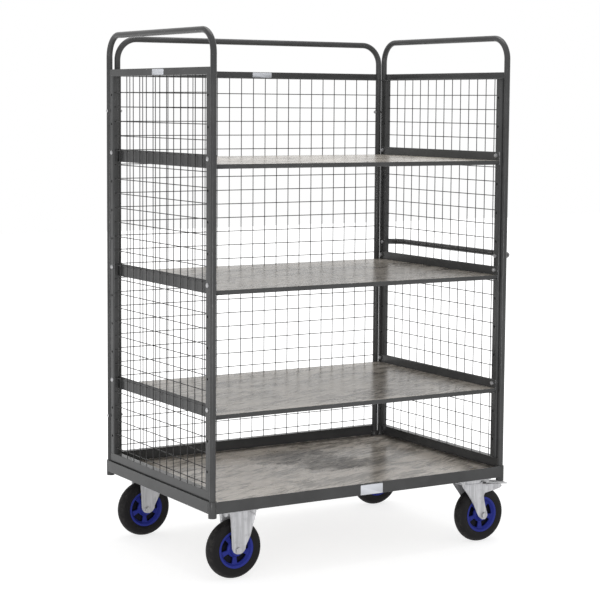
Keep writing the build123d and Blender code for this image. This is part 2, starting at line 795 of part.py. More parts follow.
def swivel_fork(x, y):
    """Swivel castor's fork: round crown on the kingpin, two raked legs, horns that carry the brake's pin."""
    lead = [(px, wheel_diameter + pz) for px, pz in leg_lead_edge]
    rear = [(px, wheel_diameter + pz) for px, pz in leg_rear_edge]
    lead_top = (leg_lead_edge[0][0], crown_top)
    rear_top = (leg_rear_top, crown_top)
    tip_rear = (trail + swivel_tip_radius, wheel_radius)
    with BuildPart() as fork:
        with BuildSketch(Plane(origin=(x, y, crown_bottom))):
            Circle(crown_radius)
            Circle(kingpin_radius + running_clearance, mode=Mode.SUBTRACT)
        extrude(amount=crown_thickness)
        with BuildSketch(*leg_planes(x, y)):
            with BuildLine():
                Polyline(lead_top, *lead, tip_rear, *rear, rear_top, close=True)
            make_face()
            with Locations((trail, wheel_radius)):
                Circle(swivel_tip_radius)
                Circle(axle_radius, mode=Mode.SUBTRACT)
            with Locations((pivot_x, pivot_z)):
                Circle(pedal_pin_radius, mode=Mode.SUBTRACT)
        extrude(amount=leg_thickness)
    return fork.part


def axle(x, y):
    """Axle bolt through both fork legs, and its nut."""
    head = Plane(origin=(x, y - leg_outer, wheel_radius), z_dir=(0, -1, 0))
    tail = Plane(origin=(x, y + leg_outer, wheel_radius), z_dir=(0, 1, 0))
    length = 2 * leg_outer + axle_nut_height
    return [
        hex_bolts([head], axle_head_size, axle_head_height, axle_radius, length),
        hex_nuts([tail], axle_head_size, axle_nut_height, axle_radius),
    ]


def swivel_top_plate(x, y):
    """Swivel castor's plate: race above the balls, and a skirt round them that clears the crown."""
    race_inner = race_radius - race_width / 2
    race_outer = race_radius + race_width / 2
    with BuildPart() as plate:
        add(castor_plate(x, y))
        with BuildSketch(Plane(origin=(x, y, plate_bottom))):
            Circle(race_outer)
            Circle(race_inner, mode=Mode.SUBTRACT)
        extrude(amount=-race_height)
        with BuildSketch(Plane(origin=(x, y, plate_bottom))):
            Circle(crown_radius)
            Circle(crown_radius - skirt_width, mode=Mode.SUBTRACT)
        extrude(amount=crown_top + skirt_gap - plate_bottom)
        with BuildSketch(Plane(origin=(x, y, plate_bottom))):
            Circle(kingpin_radius)
        extrude(amount=plate_thickness, mode=Mode.SUBTRACT)
    return plate.part


def kingpin(x, y):
    """Kingpin: pressed into the top plate, with a round head under the crown."""
    head_top = crown_bottom - moving_gap
    with BuildPart() as pin:
        with BuildSketch(Plane(origin=(x, y, head_top))):
            Circle(kingpin_head_radius)
        extrude(amount=-kingpin_head_height)
        with BuildSketch(Plane(origin=(x, y, head_top))):
            Circle(kingpin_radius)
        extrude(amount=chassis_bottom - head_top)
    return pin.part


def brake_pedal(x, y):
    """Brake pedal: barrel on its pin, sloping lever, and a shoe over the tyre."""
    tip = (pedal_length, -pedal_drop)
    root = (0, pedal_root_height)
    with BuildPart() as pedal:
        with BuildSketch(Plane(origin=(x + pivot_x, y, pivot_z), x_dir=(1, 0, 0), z_dir=(0, -1, 0))):
            Circle(pedal_barrel_radius)
            with BuildLine():
                Polyline(
                    root, tip, (tip[0], tip[1] + pedal_thickness), (0, root[1] + pedal_thickness), close=True
                )
            make_face()
            with BuildLine():
                Polyline(
                    (shoe_near, -shoe_drop), (shoe_far, -shoe_drop),
                    (shoe_far, 0), (shoe_near, pedal_root_height),
                    close=True,
                )
            make_face()
            Circle(pedal_pin_radius + running_clearance, mode=Mode.SUBTRACT)
        extrude(amount=pedal_width / 2, both=True)
    return pedal.part


def brake_pin(x, y):
    """Pin through both horns that the pedal turns on."""
    with BuildPart() as pin:
        with BuildSketch(Plane(origin=(x + pivot_x, y, pivot_z), x_dir=(1, 0, 0), z_dir=(0, -1, 0))):
            Circle(pedal_pin_radius)
        extrude(amount=leg_outer + pedal_pin_end, both=True)
    return pin.part


def polar(radius, angle):
    """Point at a radius and an angle in degrees."""
    return (radius * cos(radians(angle)), radius * sin(radians(angle)))


def pocket_outline():
    """One pocket of a wheel centre: a piece of a ring between two spokes, with rounded corners."""
    with BuildSketch() as pocket:
        with BuildLine():
            CenterArc((0, 0), pocket_outer_radius, -pocket_half_angle, 2 * pocket_half_angle)
            CenterArc((0, 0), pocket_inner_radius, -pocket_half_angle, 2 * pocket_half_angle)
            for angle in (-pocket_half_angle, pocket_half_angle):
                Line(polar(pocket_inner_radius, angle), polar(pocket_outer_radius, angle))
        make_face()
        fillet(pocket.vertices(), pocket_corner)
    return pocket.sketch


def wheel_centre(x, y):
    """Moulded wheel centre: rim, hub bored for the bearing, spokes, and a thin web behind the pockets."""
    axle_plane = Plane(origin=(x, y, wheel_radius), x_dir=(1, 0, 0), z_dir=(0, -1, 0))
    with BuildPart() as centre:
        with BuildSketch(axle_plane):
            Circle(rim_radius)
            Circle(rim_radius - rim_depth, mode=Mode.SUBTRACT)
        extrude(amount=tyre_base_width / 2, both=True)
        with BuildSketch(axle_plane):
            Circle(rim_radius - rim_depth)
            with PolarLocations(0, pocket_count, start_angle=first_pocket):
                add(pocket_outline(), mode=Mode.SUBTRACT)
        extrude(amount=spoke_thickness / 2, both=True)
        with BuildSketch(axle_plane):
            Circle(rim_radius - rim_depth)
        extrude(amount=web_thickness / 2, both=True)
        with BuildSketch(axle_plane):
            Circle(hub_radius)
        extrude(amount=hub_length / 2, both=True)
        with BuildSketch(axle_plane):
            Circle(bearing_radius)
        extrude(amount=hub_length / 2, both=True, mode=Mode.SUBTRACT)
    return centre.part


def tyre(x, y):
    """Tyre with bulged sides and a rounded tread, turned about the axle."""
    base = tyre_base_width / 2
    shoulder = (tyre_shoulder_width / 2, wheel_radius - tyre_crown_drop)
    far_shoulder = (-shoulder[0], shoulder[1])
    side_height = (rim_radius + shoulder[1]) / 2
    with BuildPart() as ring:
        with BuildSketch(Plane(origin=(x, y, wheel_radius), x_dir=(0, 1, 0), z_dir=(1, 0, 0))):
            with BuildLine():
                Line((-base, rim_radius), (base, rim_radius))
                ThreePointArc((base, rim_radius), (tyre_width / 2, side_height), shoulder)
                ThreePointArc(shoulder, (0, wheel_radius), far_shoulder)
                ThreePointArc(far_shoulder, (-tyre_width / 2, side_height), (-base, rim_radius))
            make_face()
        revolve(axis=Axis((x, y, wheel_radius), (0, 1, 0)))
    return ring.part


def wheel_bearing(x, y):
    """Plain bearing pressed into the hub, running on the axle."""
    with BuildPart() as bearing:
        with BuildSketch(Plane(origin=(x, y, wheel_radius), x_dir=(1, 0, 0), z_dir=(0, -1, 0))):
            Circle(bearing_radius)
            Circle(axle_radius + running_clearance, mode=Mode.SUBTRACT)
        extrude(amount=hub_length / 2, both=True)
    return bearing.part


# Fixed castors on the left
for castor_name, place in zip(castor_names[:2], fixed_places):
    save(fixed_fork(*place), f"{castor_name}_fork")
save_group([piece for place in fixed_places for piece in axle(*place)], "fixed_axles")

# Swivel castors on the right: plates, kingpins and balls stay with the chassis
save_group([swivel_top_plate(*place) for place in swivel_places], "swivel_top_plates")
save_group([kingpin(*place) for place in swivel_places], "kingpins")
ball_z = crown_top + running_clearance + ball_diameter / 2
with BuildPart() as swivel_balls:
    for place in swivel_places:
        with Locations(Plane(origin=(*place, ball_z))):
            with PolarLocations(race_radius, ball_count):
                Sphere(ball_diameter / 2)
save(swivel_balls.part, "swivel_balls")

# Swivel castors on the right: pieces that turn
for castor_name, place in zip(castor_names[2:], swivel_places):
    save(swivel_fork(*place), f"{castor_name}_fork")
    save_group(axle(place[0] + trail, place[1]), f"{castor_name}_axle")
    save(brake_pedal(*place), f"{castor_name}_brake_pedal")
    save(brake_pin(*place), f"{castor_name}_brake_pin")

# Wheels
wheel_places = fixed_places + [(x + trail, y) for x, y in swivel_places]
for castor_name, place in zip(castor_names, wheel_places):
    save(wheel_centre(*place), f"{castor_name}_wheel_centre")
    save(tyre(*place), f"{castor_name}_tyre")
    save(wheel_bearing(*place), f"{castor_name}_wheel_bearing")
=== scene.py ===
import bpy
import numpy as np
from mathutils import Matrix


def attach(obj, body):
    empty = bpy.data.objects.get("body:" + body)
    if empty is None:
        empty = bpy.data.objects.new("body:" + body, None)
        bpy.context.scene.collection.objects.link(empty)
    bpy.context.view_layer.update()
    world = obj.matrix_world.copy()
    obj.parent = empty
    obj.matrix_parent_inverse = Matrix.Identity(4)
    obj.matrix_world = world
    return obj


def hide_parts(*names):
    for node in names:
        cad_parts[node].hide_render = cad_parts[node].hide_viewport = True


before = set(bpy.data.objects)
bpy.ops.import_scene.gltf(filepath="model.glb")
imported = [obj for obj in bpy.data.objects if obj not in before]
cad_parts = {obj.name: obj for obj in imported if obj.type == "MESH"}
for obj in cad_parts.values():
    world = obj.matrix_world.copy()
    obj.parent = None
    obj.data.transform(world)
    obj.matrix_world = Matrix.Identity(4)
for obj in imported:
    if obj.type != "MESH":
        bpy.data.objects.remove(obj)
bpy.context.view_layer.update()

# Chassis rails
# Four hot-rolled steel angles, 40 by 40 mm, welded to the corner sockets into one rectangle.
# All the steelwork is sprayed with dark grey powder paint, which rubs thin along the edges.
chassis_middle = -0.026825
chassis_half_length = 0.600
chassis_half_width = 0.400
rail_bottom = 0.238
rail_size = 0.040
rail_wall = 0.004
long_rail_reach = 0.580
end_rail_leg_reach = 0.360
end_rail_reach = 0.380
heel_rounding = 0.0012
toe_rounding = 0.0009
root_rounding = 0.0045
rub_reach = 0.004
crease_angle = np.radians(38.0)
paint_colour = (0.053, 0.0535, 0.054, 1.0)
primer_colour = (0.23, 0.23, 0.235, 1.0)
dust_colour = (0.34, 0.325, 0.30, 1.0)
paint_shine = 0.22
paint_relief = (0.07, 0.0003)
along_x, along_y, along_z = np.eye(3)


def rounded_outline(corners, rounding, steps=4, rub=rub_reach):
    """Closed outline with softened corners, and how exposed each point is to rubbing.

    A corner becomes the quadratic curve from the point at its rounding's distance along one edge to
    the same point on the other edge, pulled to the corner. One flat point follows on each side.
    """
    curve_share, flat_share = 0.42, 0.48
    corners = np.asarray(corners, dtype=float)
    back = np.roll(corners, 1, axis=0) - corners
    ahead = np.roll(corners, -1, axis=0) - corners
    back_length = np.linalg.norm(back, axis=1, keepdims=True)
    ahead_length = np.linalg.norm(ahead, axis=1, keepdims=True)
    near = np.minimum(np.broadcast_to(rounding, len(corners))[:, None], curve_share * back_length)
    near = np.minimum(near, curve_share * ahead_length)
    back, ahead = back / back_length, ahead / ahead_length
    t = np.linspace(0.0, 1.0, steps + 1)[None, :, None]
    first, last = (corners + back * near)[:, None], (corners + ahead * near)[:, None]
    curve = (1 - t) ** 2 * first + 2 * t * (1 - t) * corners[:, None] + t**2 * last
    flat_back = corners + back * np.minimum(near + rub, flat_share * back_length)
    flat_ahead = corners + ahead * np.minimum(near + rub, flat_share * ahead_length)
    points = np.concatenate([flat_back[:, None], curve, flat_ahead[:, None]], axis=1)
    onward = np.roll(corners, -1, axis=0)
    area = np.sum(corners[:, 0] * onward[:, 1] - onward[:, 0] * corners[:, 1])
    turn = ahead[:, 0] * back[:, 1] - ahead[:, 1] * back[:, 0]
    outward = (turn * area > 0).astype(float)[:, None]
    bulge = np.concatenate([[0.0], 0.4 + 0.6 * np.sin(np.pi * t.ravel()), [0.0]])[None, :]
    return points.reshape(-1, 2), (outward * bulge).ravel()


def soft_rectangle(low, high, rounding, steps=4, rub=rub_reach):
    """Outline of a rectangle from its lowest to its highest corner, with all four corners softened."""
    return rounded_outline([low, (high[0], low[1]), high, (low[0], high[1])], rounding, steps, rub)


def angle_outline(across, up, wall):
    """Outline of an angle bar from its heel: sharp heel, thin rounded toes and a filled root."""
    corners = [(0, 0), (across, 0), (across, wall), (wall, wall), (wall, up), (0, up)]
    toe, shoulder = toe_rounding, 2 * toe_rounding
    return rounded_outline(corners, [heel_rounding, toe, shoulder, root_rounding, shoulder, toe])


def carried_bar(section, middle, run, span, across, up=along_z, worn_ends=False):
    """Outline carried along a straight line: every ring is the outline moved to its place on the line.

    The line goes along the run from the span's low end to its high end, counted from the middle. The
    place along the line is the first parameter, the place round the outline the second.
    """
    outline, rub = section
    low, high = span
    near = min(rub_reach, (high - low) / 4)
    line = middle + np.array([low, low + near, high - near, high])[:, None] * run
    rings = line[:, None] + outline[None, :, :1] * across + outline[None, :, 1:] * up
    ends = np.array([1.0, 0.0, 0.0, 1.0]) * worn_ends
    return rings, np.maximum(rub[None, :], ends[:, None]), False


def coped_bar(section, cut_section, middle, run, reach, full_reach, inward, up=along_z):
    """Bar with cut ends: the whole section as far as its reach on both sides, the cut section beyond."""
    parts = ((section, -reach, reach), (cut_section, -full_reach, -reach), (cut_section, reach, full_reach))
    return [carried_bar(part, middle, run, (low, high), inward, up) for part, low, high in parts]


def put_together(name, shells, material, stands_for=None, body="trolley"):
    """One piece from several shells of rings.

    A shell is rings of points, how rubbed each point is, and whether the rings close into a loop.
    Neighbouring rings are joined by four-sided faces, and open ends are closed by one face each. A
    shell whose volume comes out negative has its faces turned round.
    """
    points, rubbed, faces = [], [], []
    offset = 0
    for rings, rub, loop in shells:
        count, around = rings.shape[:2]
        index = np.arange(count * around).reshape(count, around)
        current, following = (index, np.roll(index, -1, axis=0)) if loop else (index[:-1], index[1:])
        corners = [current, np.roll(current, -1, axis=1), np.roll(following, -1, axis=1), following]
        quads = np.stack(corners, axis=-1).reshape(-1, 4)
        flat = rings.reshape(-1, 3)
        a, b, c, d = (flat[quads[:, i]] - flat.mean(axis=0) for i in range(4))
        way = -1 if np.sum(a * np.cross(b, c)) + np.sum(a * np.cross(c, d)) < 0 else 1
        caps = [] if loop else [index[0][::-1], index[-1]]
        faces += (quads[:, ::way] + offset).tolist() + [(cap[::way] + offset).tolist() for cap in caps]
        points.append(flat)
        rubbed.append(np.broadcast_to(rub, (count, around)).ravel())
        offset += count * around
    mesh = bpy.data.meshes.new(name)
    mesh.from_pydata(np.concatenate(points), [], faces)
    rub_values = np.concatenate(rubbed).astype(np.float32)
    mesh.attributes.new("rub", "FLOAT", "POINT").data.foreach_set("value", rub_values)
    mesh.polygons.foreach_set("use_smooth", np.ones(len(mesh.polygons), dtype=bool))
    mesh.set_sharp_from_angle(angle=crease_angle)
    mesh.materials.append(material)
    piece = bpy.data.objects.new(name, mesh)
    bpy.context.collection.objects.link(piece)
    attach(piece, body)
    if stands_for:
        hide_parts(stands_for)


def feed(tree, socket, value):
    """Joins another node's output to a socket, or sets the socket's own number or colour."""
    if isinstance(value, bpy.types.NodeSocket):
        tree.links.new(value, socket)
    else:
        socket.default_value = value


def node(tree, kind, settings=(), **inputs):
    """One shader node: settings are its own properties, inputs are numbers or other nodes' outputs.

    An input's name has underscores for spaces; an i with a number picks a socket by its number.
    """
    made = tree.nodes.new("ShaderNode" + kind)
    for key, value in dict(settings).items():
        setattr(made, key, value)
    for key, value in inputs.items():
        by_number = key[0] == "i" and key[1:].isdigit()
        feed(tree, made.inputs[int(key[1:]) if by_number else key.replace("_", " ")], value)
    return made


def maths(tree, operation, *values):
    """Output of one Math node."""
    numbered = {f"i{number}": value for number, value in enumerate(values)}
    return node(tree, "Math", {"operation": operation}, **numbered).outputs[0]


def times(tree, first, second):
    """First value times the second."""
    return maths(tree, "MULTIPLY", first, second)


def scaled(tree, value, factor, added):
    """Value times a factor, plus what is added."""
    return maths(tree, "MULTIPLY_ADD", value, factor, added)


def blend(tree, share, first, second):
    """Colour that goes from the first to the second as the share goes from 0 to 1."""
    return node(tree, "Mix", {"data_type": "RGBA"}, i0=share, i6=first, i7=second).outputs[2]


def toned(tree, colour, value, saturation=1.0):
    """Colour made lighter or darker by a value, and more or less colourful."""
    return node(tree, "HueSaturation", Color=colour, Value=value, Saturation=saturation).outputs[0]


def noise(tree, place, scale, detail, roughness, distortion=0.0):
    """Value of a noise pattern at a place."""
    pattern = {"Scale": scale, "Detail": detail, "Roughness": roughness, "Distortion": distortion}
    return node(tree, "TexNoise", Vector=place, **pattern).outputs[0]


def ramp(tree, value, low, high):
    """0 below the low value, 1 above the high one, smooth between."""
    smooth = {"interpolation_type": "SMOOTHSTEP"}
    return node(tree, "MapRange", smooth, Value=value, From_Min=low, From_Max=high).outputs[0]


def object_place(tree):
    """Place on the object, in metres."""
    return node(tree, "TexCoord").outputs["Object"]


def rub_share(tree):
    """How exposed the surface is to rubbing, from the mesh."""
    return node(tree, "Attribute", {"attribute_name": "rub"}).outputs["Fac"]


def surface_group(name, **inputs):
    """Empty shader node group with named inputs that puts out a colour, a roughness and a height.

    One number makes a value input, three a vector input and four a colour input. Returns the group with
    its input sockets and its output sockets.
    """
    made = bpy.data.node_groups.new(name, "ShaderNodeTree")
    kinds = {1: "NodeSocketFloat", 3: "NodeSocketVector", 4: "NodeSocketColor"}
    for key, value in inputs.items():
        kind = kinds[np.size(value)]
        socket = made.interface.new_socket(name=key.replace("_", " "), in_out="INPUT", socket_type=kind)
        socket.default_value = value
    for key, kind in (("Colour", "Color"), ("Roughness", "Float"), ("Height", "Float")):
        made.interface.new_socket(name=key, in_out="OUTPUT", socket_type="NodeSocket" + kind)
    return made, made.nodes.new("NodeGroupInput").outputs, made.nodes.new("NodeGroupOutput").inputs


def new_material(name):
    """Material with a plain shader, and its node tree."""
    made = bpy.data.materials.new(name)
    made.use_nodes = True
    return made, made.node_tree


def finish_shader(tree, colour, roughness, height, relief, shine=0.5, metallic=0.0):
    """Joins colour, roughness and bump to a material's shader; relief is the bump's strength and depth."""
    shader = tree.nodes["Principled BSDF"]
    bump = node(tree, "Bump", Strength=relief[0], Distance=relief[1], Height=height).outputs[0]
    feed(tree, shader.inputs["Base Color"], colour)
    feed(tree, shader.inputs["Roughness"], roughness)
    feed(tree, shader.inputs["Normal"], bump)
    shader.inputs["Specular IOR Level"].default_value = shine
    shader.inputs["Metallic"].default_value = metallic


def sprayed_coat():
    """Shader group of the paint: fine orange peel, slow changes of tone, rubbed edges and a little dust.

    Paint is worn through where the rubbing and a scuff pattern add up past a limit. Dust lies on faces
    that look up, broken by a patchy pattern.
    """
    film, given, out = surface_group(
        "sprayed_coat", Paint=paint_colour, Under_Paint=primer_colour, Wear=0.5, Dust=0.4
    )
    place = object_place(film)
    upward = node(film, "SeparateXYZ", Vector=node(film, "TexCoord").outputs["Normal"]).outputs[2]
    tone = noise(film, place, 7.0, 4.0, 0.6)
    scuff = noise(film, place, 85.0, 6.0, 0.68)
    peel = noise(film, place, 620.0, 2.0, 0.5)
    grit = noise(film, place, 2100.0, 1.0, 0.5)
    patchy = ramp(film, noise(film, place, 26.0, 5.0, 0.62), 0.34, 0.78)
    push = times(film, rub_share(film), times(film, given["Wear"], 0.32))
    worn = ramp(film, maths(film, "ADD", scuff, push), 0.70, 0.82)
    dusty = times(film, times(film, ramp(film, upward, 0.55, 0.98), given["Dust"]), patchy)
    dark, light = toned(film, given["Paint"], 0.86), toned(film, given["Paint"], 1.16)
    colour = blend(film, ramp(film, tone, 0.3, 0.7), dark, light)
    colour = blend(film, worn, colour, given["Under Paint"])
    feed(film, out["Colour"], blend(film, times(film, dusty, 0.22), colour, dust_colour))
    rough = scaled(film, dusty, 0.22, scaled(film, tone, 0.12, 0.15))
    feed(film, out["Roughness"], scaled(film, worn, -0.08, rough))
    relief = scaled(film, grit, 0.25, times(film, peel, 0.75))
    feed(film, out["Height"], scaled(film, worn, -0.35, relief))
    return film


coat_film = sprayed_coat()


def coated(name, wear, dust, paint=paint_colour):
    """Powder-coated steel: the sprayed coat over a plain dielectric shader."""
    material, tree = new_material(name)
    values = {"Paint": paint, "Under_Paint": primer_colour, "Wear": wear, "Dust": dust}
    film = node(tree, "Group", {"node_tree": coat_film}, **values)
    finish_shader(tree, *film.outputs, paint_relief, paint_shine)
    return material


coated_chassis = coated("coated_chassis", wear=0.75, dust=0.8)
rail_angle = angle_outline(rail_size, rail_size, rail_wall)
rail_flat = soft_rectangle((0, 0), (rail_wall, rail_size), toe_rounding)
long_rails, end_rails = [], []
for side in (-1, 1):
    long_middle = (chassis_middle, side * chassis_half_width, rail_bottom)
    long_span = (-long_rail_reach, long_rail_reach)
    long_rails.append(carried_bar(rail_angle, long_middle, along_x, long_span, -side * along_y))
    end_middle = (chassis_middle + side * chassis_half_length, 0.0, rail_bottom)
    end_reaches = (end_rail_leg_reach, end_rail_reach)
    end_rails += coped_bar(rail_angle, rail_flat, end_middle, along_y, *end_reaches, -side * along_x)
put_together("long_rails", long_rails, coated_chassis, "chassis_long_rails")
put_together("end_rails", end_rails, coated_chassis, "chassis_end_rails")

# Corner sockets, castor pads and deck bearers
# Short tubes that take the panels' legs, plates that back the castors, and flat bars under the deck.
# All are welded to the rails and coated with them; the CAD shapes stay, with softened edges.
merge_distance = 0.00001
soften_angle = np.radians(40.0)


def finish_solid(names, material, edge):
    """Dresses CAD pieces as they are: their triangles are merged and their edges softened."""
    for name in names:
        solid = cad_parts[name]
        solid.data.materials.clear()
        solid.data.materials.append(material)
        merge = solid.modifiers.new("merge", "WELD")
        merge.merge_threshold = merge_distance
        soften = solid.modifiers.new("soften", "BEVEL")
        soften.width = edge
        soften.segments = 2
        soften.limit_method = "ANGLE"
        soften.angle_limit = soften_angle


finish_solid(["corner_sockets"], coated_chassis, edge=0.0008)
finish_solid(["castor_pads", "deck_bearers"], coated_chassis, edge=0.0005)

# Deck board and its screws
# A board of faced panel let into the chassis, grey with a slanting wood figure, satin and worn.
# It lies on the rails' level legs, and four countersunk screws hold it to the castor pads.
deck_half_length = 0.5955
deck_half_width = 0.3955
rim_reach = 0.050
# The figure is print, but these shades are lighter than the shelves' of the same panel: painted light,
# making up for the shade that the shelves above cast on the deck.
deck_shades_with_painted_light = ((0.88, 0.815, 0.735, 1.0), (0.33, 0.300, 0.262, 1.0), (0.045, 0.035, 0.027, 1.0))
deck_knots = (((0.050, 0.170), (0.30, 0.17), 0.40), ((0.120, -0.020), (0.28, 0.16), 0.38))
board_fibre = (0.085, 0.073, 0.061, 1.0)
# Painted shade along the board's rim, where it lies under the rails and the panels' bottom angles.
rim_painted_shade = (0.030, 0.025, 0.021, 1.0)
board_relief = (0.05, 0.0002)
plating_relief = (0.12, 0.0002)
fastener_zinc = (0.46, 0.46, 0.47, 1.0)


def laid_place(tree, scale, offset=(0.0, 0.0, 0.0), angle=0.0):
    """Object place, turned about the upright axis by an angle in degrees, then scaled and moved."""
    place = object_place(tree)
    if angle:
        upright = {"rotation_type": "Z_AXIS"}
        place = node(tree, "VectorRotate", upright, Vector=place, Angle=np.radians(angle)).outputs[0]
    return node(tree, "Mapping", Vector=place, Scale=scale, Location=offset).outputs[0]


def distance(tree, place):
    """Length of the line from the origin to a place."""
    return node(tree, "VectorMath", {"operation": "LENGTH"}, i0=place).outputs["Value"]


def swirl(tree, middle, reach):
    """1 at a knot's middle, falling to 0 at its reach along the board and across it."""
    scale = (1 / reach[0], 1 / reach[1], 0.0)
    offset = (-middle[0] / reach[0], -middle[1] / reach[1], 0.0)
    away = distance(tree, laid_place(tree, scale, offset))
    return maths(tree, "SUBTRACT", 1.0, ramp(tree, away, 0.15, 1.0))


def rim_shade_mask(tree, half_length, half_width):
    """1 at the board's edges, falling to 0 within the rim's reach, broken by noise; painted shade goes there.
    """
    centred = laid_place(tree, (1.0, 1.0, 1.0), (-chassis_middle, 0.0, 0.0))
    place = node(tree, "SeparateXYZ", Vector=centred).outputs
    near_ends = ramp(tree, maths(tree, "ABSOLUTE", place[0]), half_length - rim_reach, half_length)
    near_sides = ramp(tree, maths(tree, "ABSOLUTE", place[1]), half_width - rim_reach, half_width)
    patchy = ramp(tree, noise(tree, laid_place(tree, (30.0, 30.0, 30.0)), 1.0, 5.0, 0.65), 0.20, 0.60)
    return times(tree, maths(tree, "MAXIMUM", near_ends, near_sides), patchy)


def wood_figure():
    """Shader group of a grey facing printed with a wood figure that slants about 20 degrees to its length.

    Smoky clouds go from pale to mid grey. Brown patches darken where a slow pattern is high. Slanting
    streaks break up both, and thinner slanting lines break up the patches again. Knots raise the brown
    round them. Fibres and pores are finer noise straight along the board. Painted shade along the rim
    lies over it all.
    """
    print_film, given, out = surface_group(
        "wood_figure", Pale=deck_shades_with_painted_light[0], Mid=deck_shades_with_painted_light[1], Brown=deck_shades_with_painted_light[2],
        Clouds=1.0, Knots=0.0, Grime=0.0, Shift=(0.0, 0.0, 0.0),
    )

    def laid(scale, detail, roughness):
        return noise(print_film, laid_place(print_film, scale), 1.0, detail, roughness)

    def figure(angle, scale, detail, roughness, distortion):
        place = laid_place(print_film, scale, given["Shift"], angle)
        return noise(print_film, place, 1.0, detail, roughness, distortion)

    smoke = figure(-14.0, (3.5, 9.0, 6.0), 5.0, 0.66, 1.2)
    streak = figure(-22.0, (7.0, 32.0, 20.0), 5.0, 0.66, 2.2)
    patch = figure(-20.0, (4.0, 9.0, 6.0), 6.0, 0.68, 1.8)
    lines = ramp(print_film, figure(-24.0, (8.0, 75.0, 20.0), 5.0, 0.7, 2.0), 0.36, 0.60)
    fibre = figure(0.0, (22.0, 420.0, 40.0), 3.0, 0.6, 0.3)
    pores = laid((70.0, 1500.0, 60.0), 1.0, 0.5)
    scuffed = laid((9.0, 22.0, 9.0), 5.0, 0.65)
    smoky = ramp(print_film, scaled(print_film, streak, 0.9, smoke), 0.78, 1.06)
    brown = maths(print_film, "ADD", scaled(print_film, streak, 0.75, patch), given["Knots"])
    stained = times(print_film, ramp(print_film, brown, 0.97, 1.22), given["Clouds"])
    stained = times(print_film, stained, scaled(print_film, lines, 0.60, 0.40))
    colour = blend(print_film, smoky, given["Mid"], given["Pale"])
    colour = blend(print_film, stained, colour, given["Brown"])
    for fine, low, high, share in ((fibre, 0.50, 0.78, 0.30), (pores, 0.60, 0.80, 0.20)):
        dark = times(print_film, ramp(print_film, fine, low, high), share)
        colour = blend(print_film, dark, colour, board_fibre)
    feed(print_film, out["Colour"], blend(print_film, given["Grime"], colour, rim_painted_shade))
    stained_and_shaded = maths(print_film, "MAXIMUM", stained, given["Grime"])
    dulled = scaled(print_film, scuffed, 0.10, 0.21)
    feed(print_film, out["Roughness"], scaled(print_film, stained_and_shaded, 0.20, dulled))
    feed(print_film, out["Height"], scaled(print_film, fibre, 0.5, times(print_film, pores, -0.5)))
    return print_film


figured_print = wood_figure()


def faced_board(name, shades, clouds, shift, knots=(), rim=None):
    """Faced panel: the wood figure in pale, mid and brown shades, the board's knots and painted rim shade."""
    material, tree = new_material(name)
    pale, mid, brown = shades
    values = {"Pale": pale, "Mid": mid, "Brown": brown, "Clouds": clouds, "Shift": shift}
    facing = node(tree, "Group", {"node_tree": figured_print}, **values)
    raised = 0.0
    for middle, reach, strength in knots:
        raised = scaled(tree, swirl(tree, middle, reach), strength, raised)
    feed(tree, facing.inputs["Knots"], raised)
    if rim:
        # Painted shade along the rim.
        feed(tree, facing.inputs["Grime"], times(tree, rim_shade_mask(tree, *rim), 0.85))
    finish_shader(tree, *facing.outputs, board_relief)
    return material


deck_rim = (deck_half_length, deck_half_width)
deck_facing = faced_board("deck_facing", deck_shades_with_painted_light, 1.0, (0.0, 0.0, 0.0), deck_knots, deck_rim)
finish_solid(["deck_board"], deck_facing, edge=0.0006)


def bright_plating():
    """Shader group of zinc plating: streaks up the sheet, cloudy darker stains and a fine rolling grain."""
    film, given, out = surface_group("bright_plating", Metal=(0.6, 0.6, 0.62, 1.0), Stain=0.4)
    place = object_place(film)
    cloud = noise(film, place, 38.0, 5.0, 0.62)
    fine = noise(film, place, 900.0, 2.0, 0.5)
    grain = noise(film, laid_place(film, (900.0, 900.0, 60.0)), 1.0, 2.0, 0.5)
    drawn = ramp(film, noise(film, laid_place(film, (150.0, 150.0, 9.0)), 1.0, 3.0, 0.55), 0.36, 0.66)
    stain = times(film, ramp(film, cloud, 0.48, 0.74), given["Stain"])
    colour = blend(film, drawn, toned(film, given["Metal"], 0.84), toned(film, given["Metal"], 1.10))
    feed(film, out["Colour"], blend(film, stain, colour, toned(film, given["Metal"], 0.55, 1.3)))
    feed(film, out["Roughness"], scaled(film, grain, 0.06, scaled(film, cloud, 0.22, 0.30)))
    feed(film, out["Height"], scaled(film, fine, 0.5, times(film, grain, 0.5)))
    return film


plating = bright_plating()


def plated(name, metal, stain, metallic):
    """Zinc-plated steel: the plating over a shader that is partly metal, for the dull film on the zinc."""
    material, tree = new_material(name)
    film = node(tree, "Group", {"node_tree": plating}, Metal=metal, Stain=stain)
    finish_shader(tree, *film.outputs, plating_relief, metallic=metallic)
    return material


plated_fastener = plated("plated_fastener", fastener_zinc, stain=0.55, metallic=0.8)
finish_solid(["deck_screws"], plated_fastener, edge=0.0003)

# Hoops of the panels
# Round steel tube, bent to a hoop for each panel; the legs stand in the corner sockets.
# Coated with its panel in the same dark grey, with a thin dust on the top bars.
tube_radius = 0.01065
tube_sides = 28
hoop_bend = 0.075
bend_steps = 14
hoop_sizes = {"end": (0.586, 0.386, 0.2265, 1.800), "back": (0.382, 0.5573, 0.241, 1.7895)}
chassis_centre = chassis_middle * along_x
panels = (
    ("left", "end", -along_x, along_y), ("right", "end", along_x, along_y), ("back", "back", along_y, along_x)
)


def round_steps(count):
    """Even angles once round a circle."""
    return np.linspace(0.0, 2 * np.pi, count, endpoint=False)


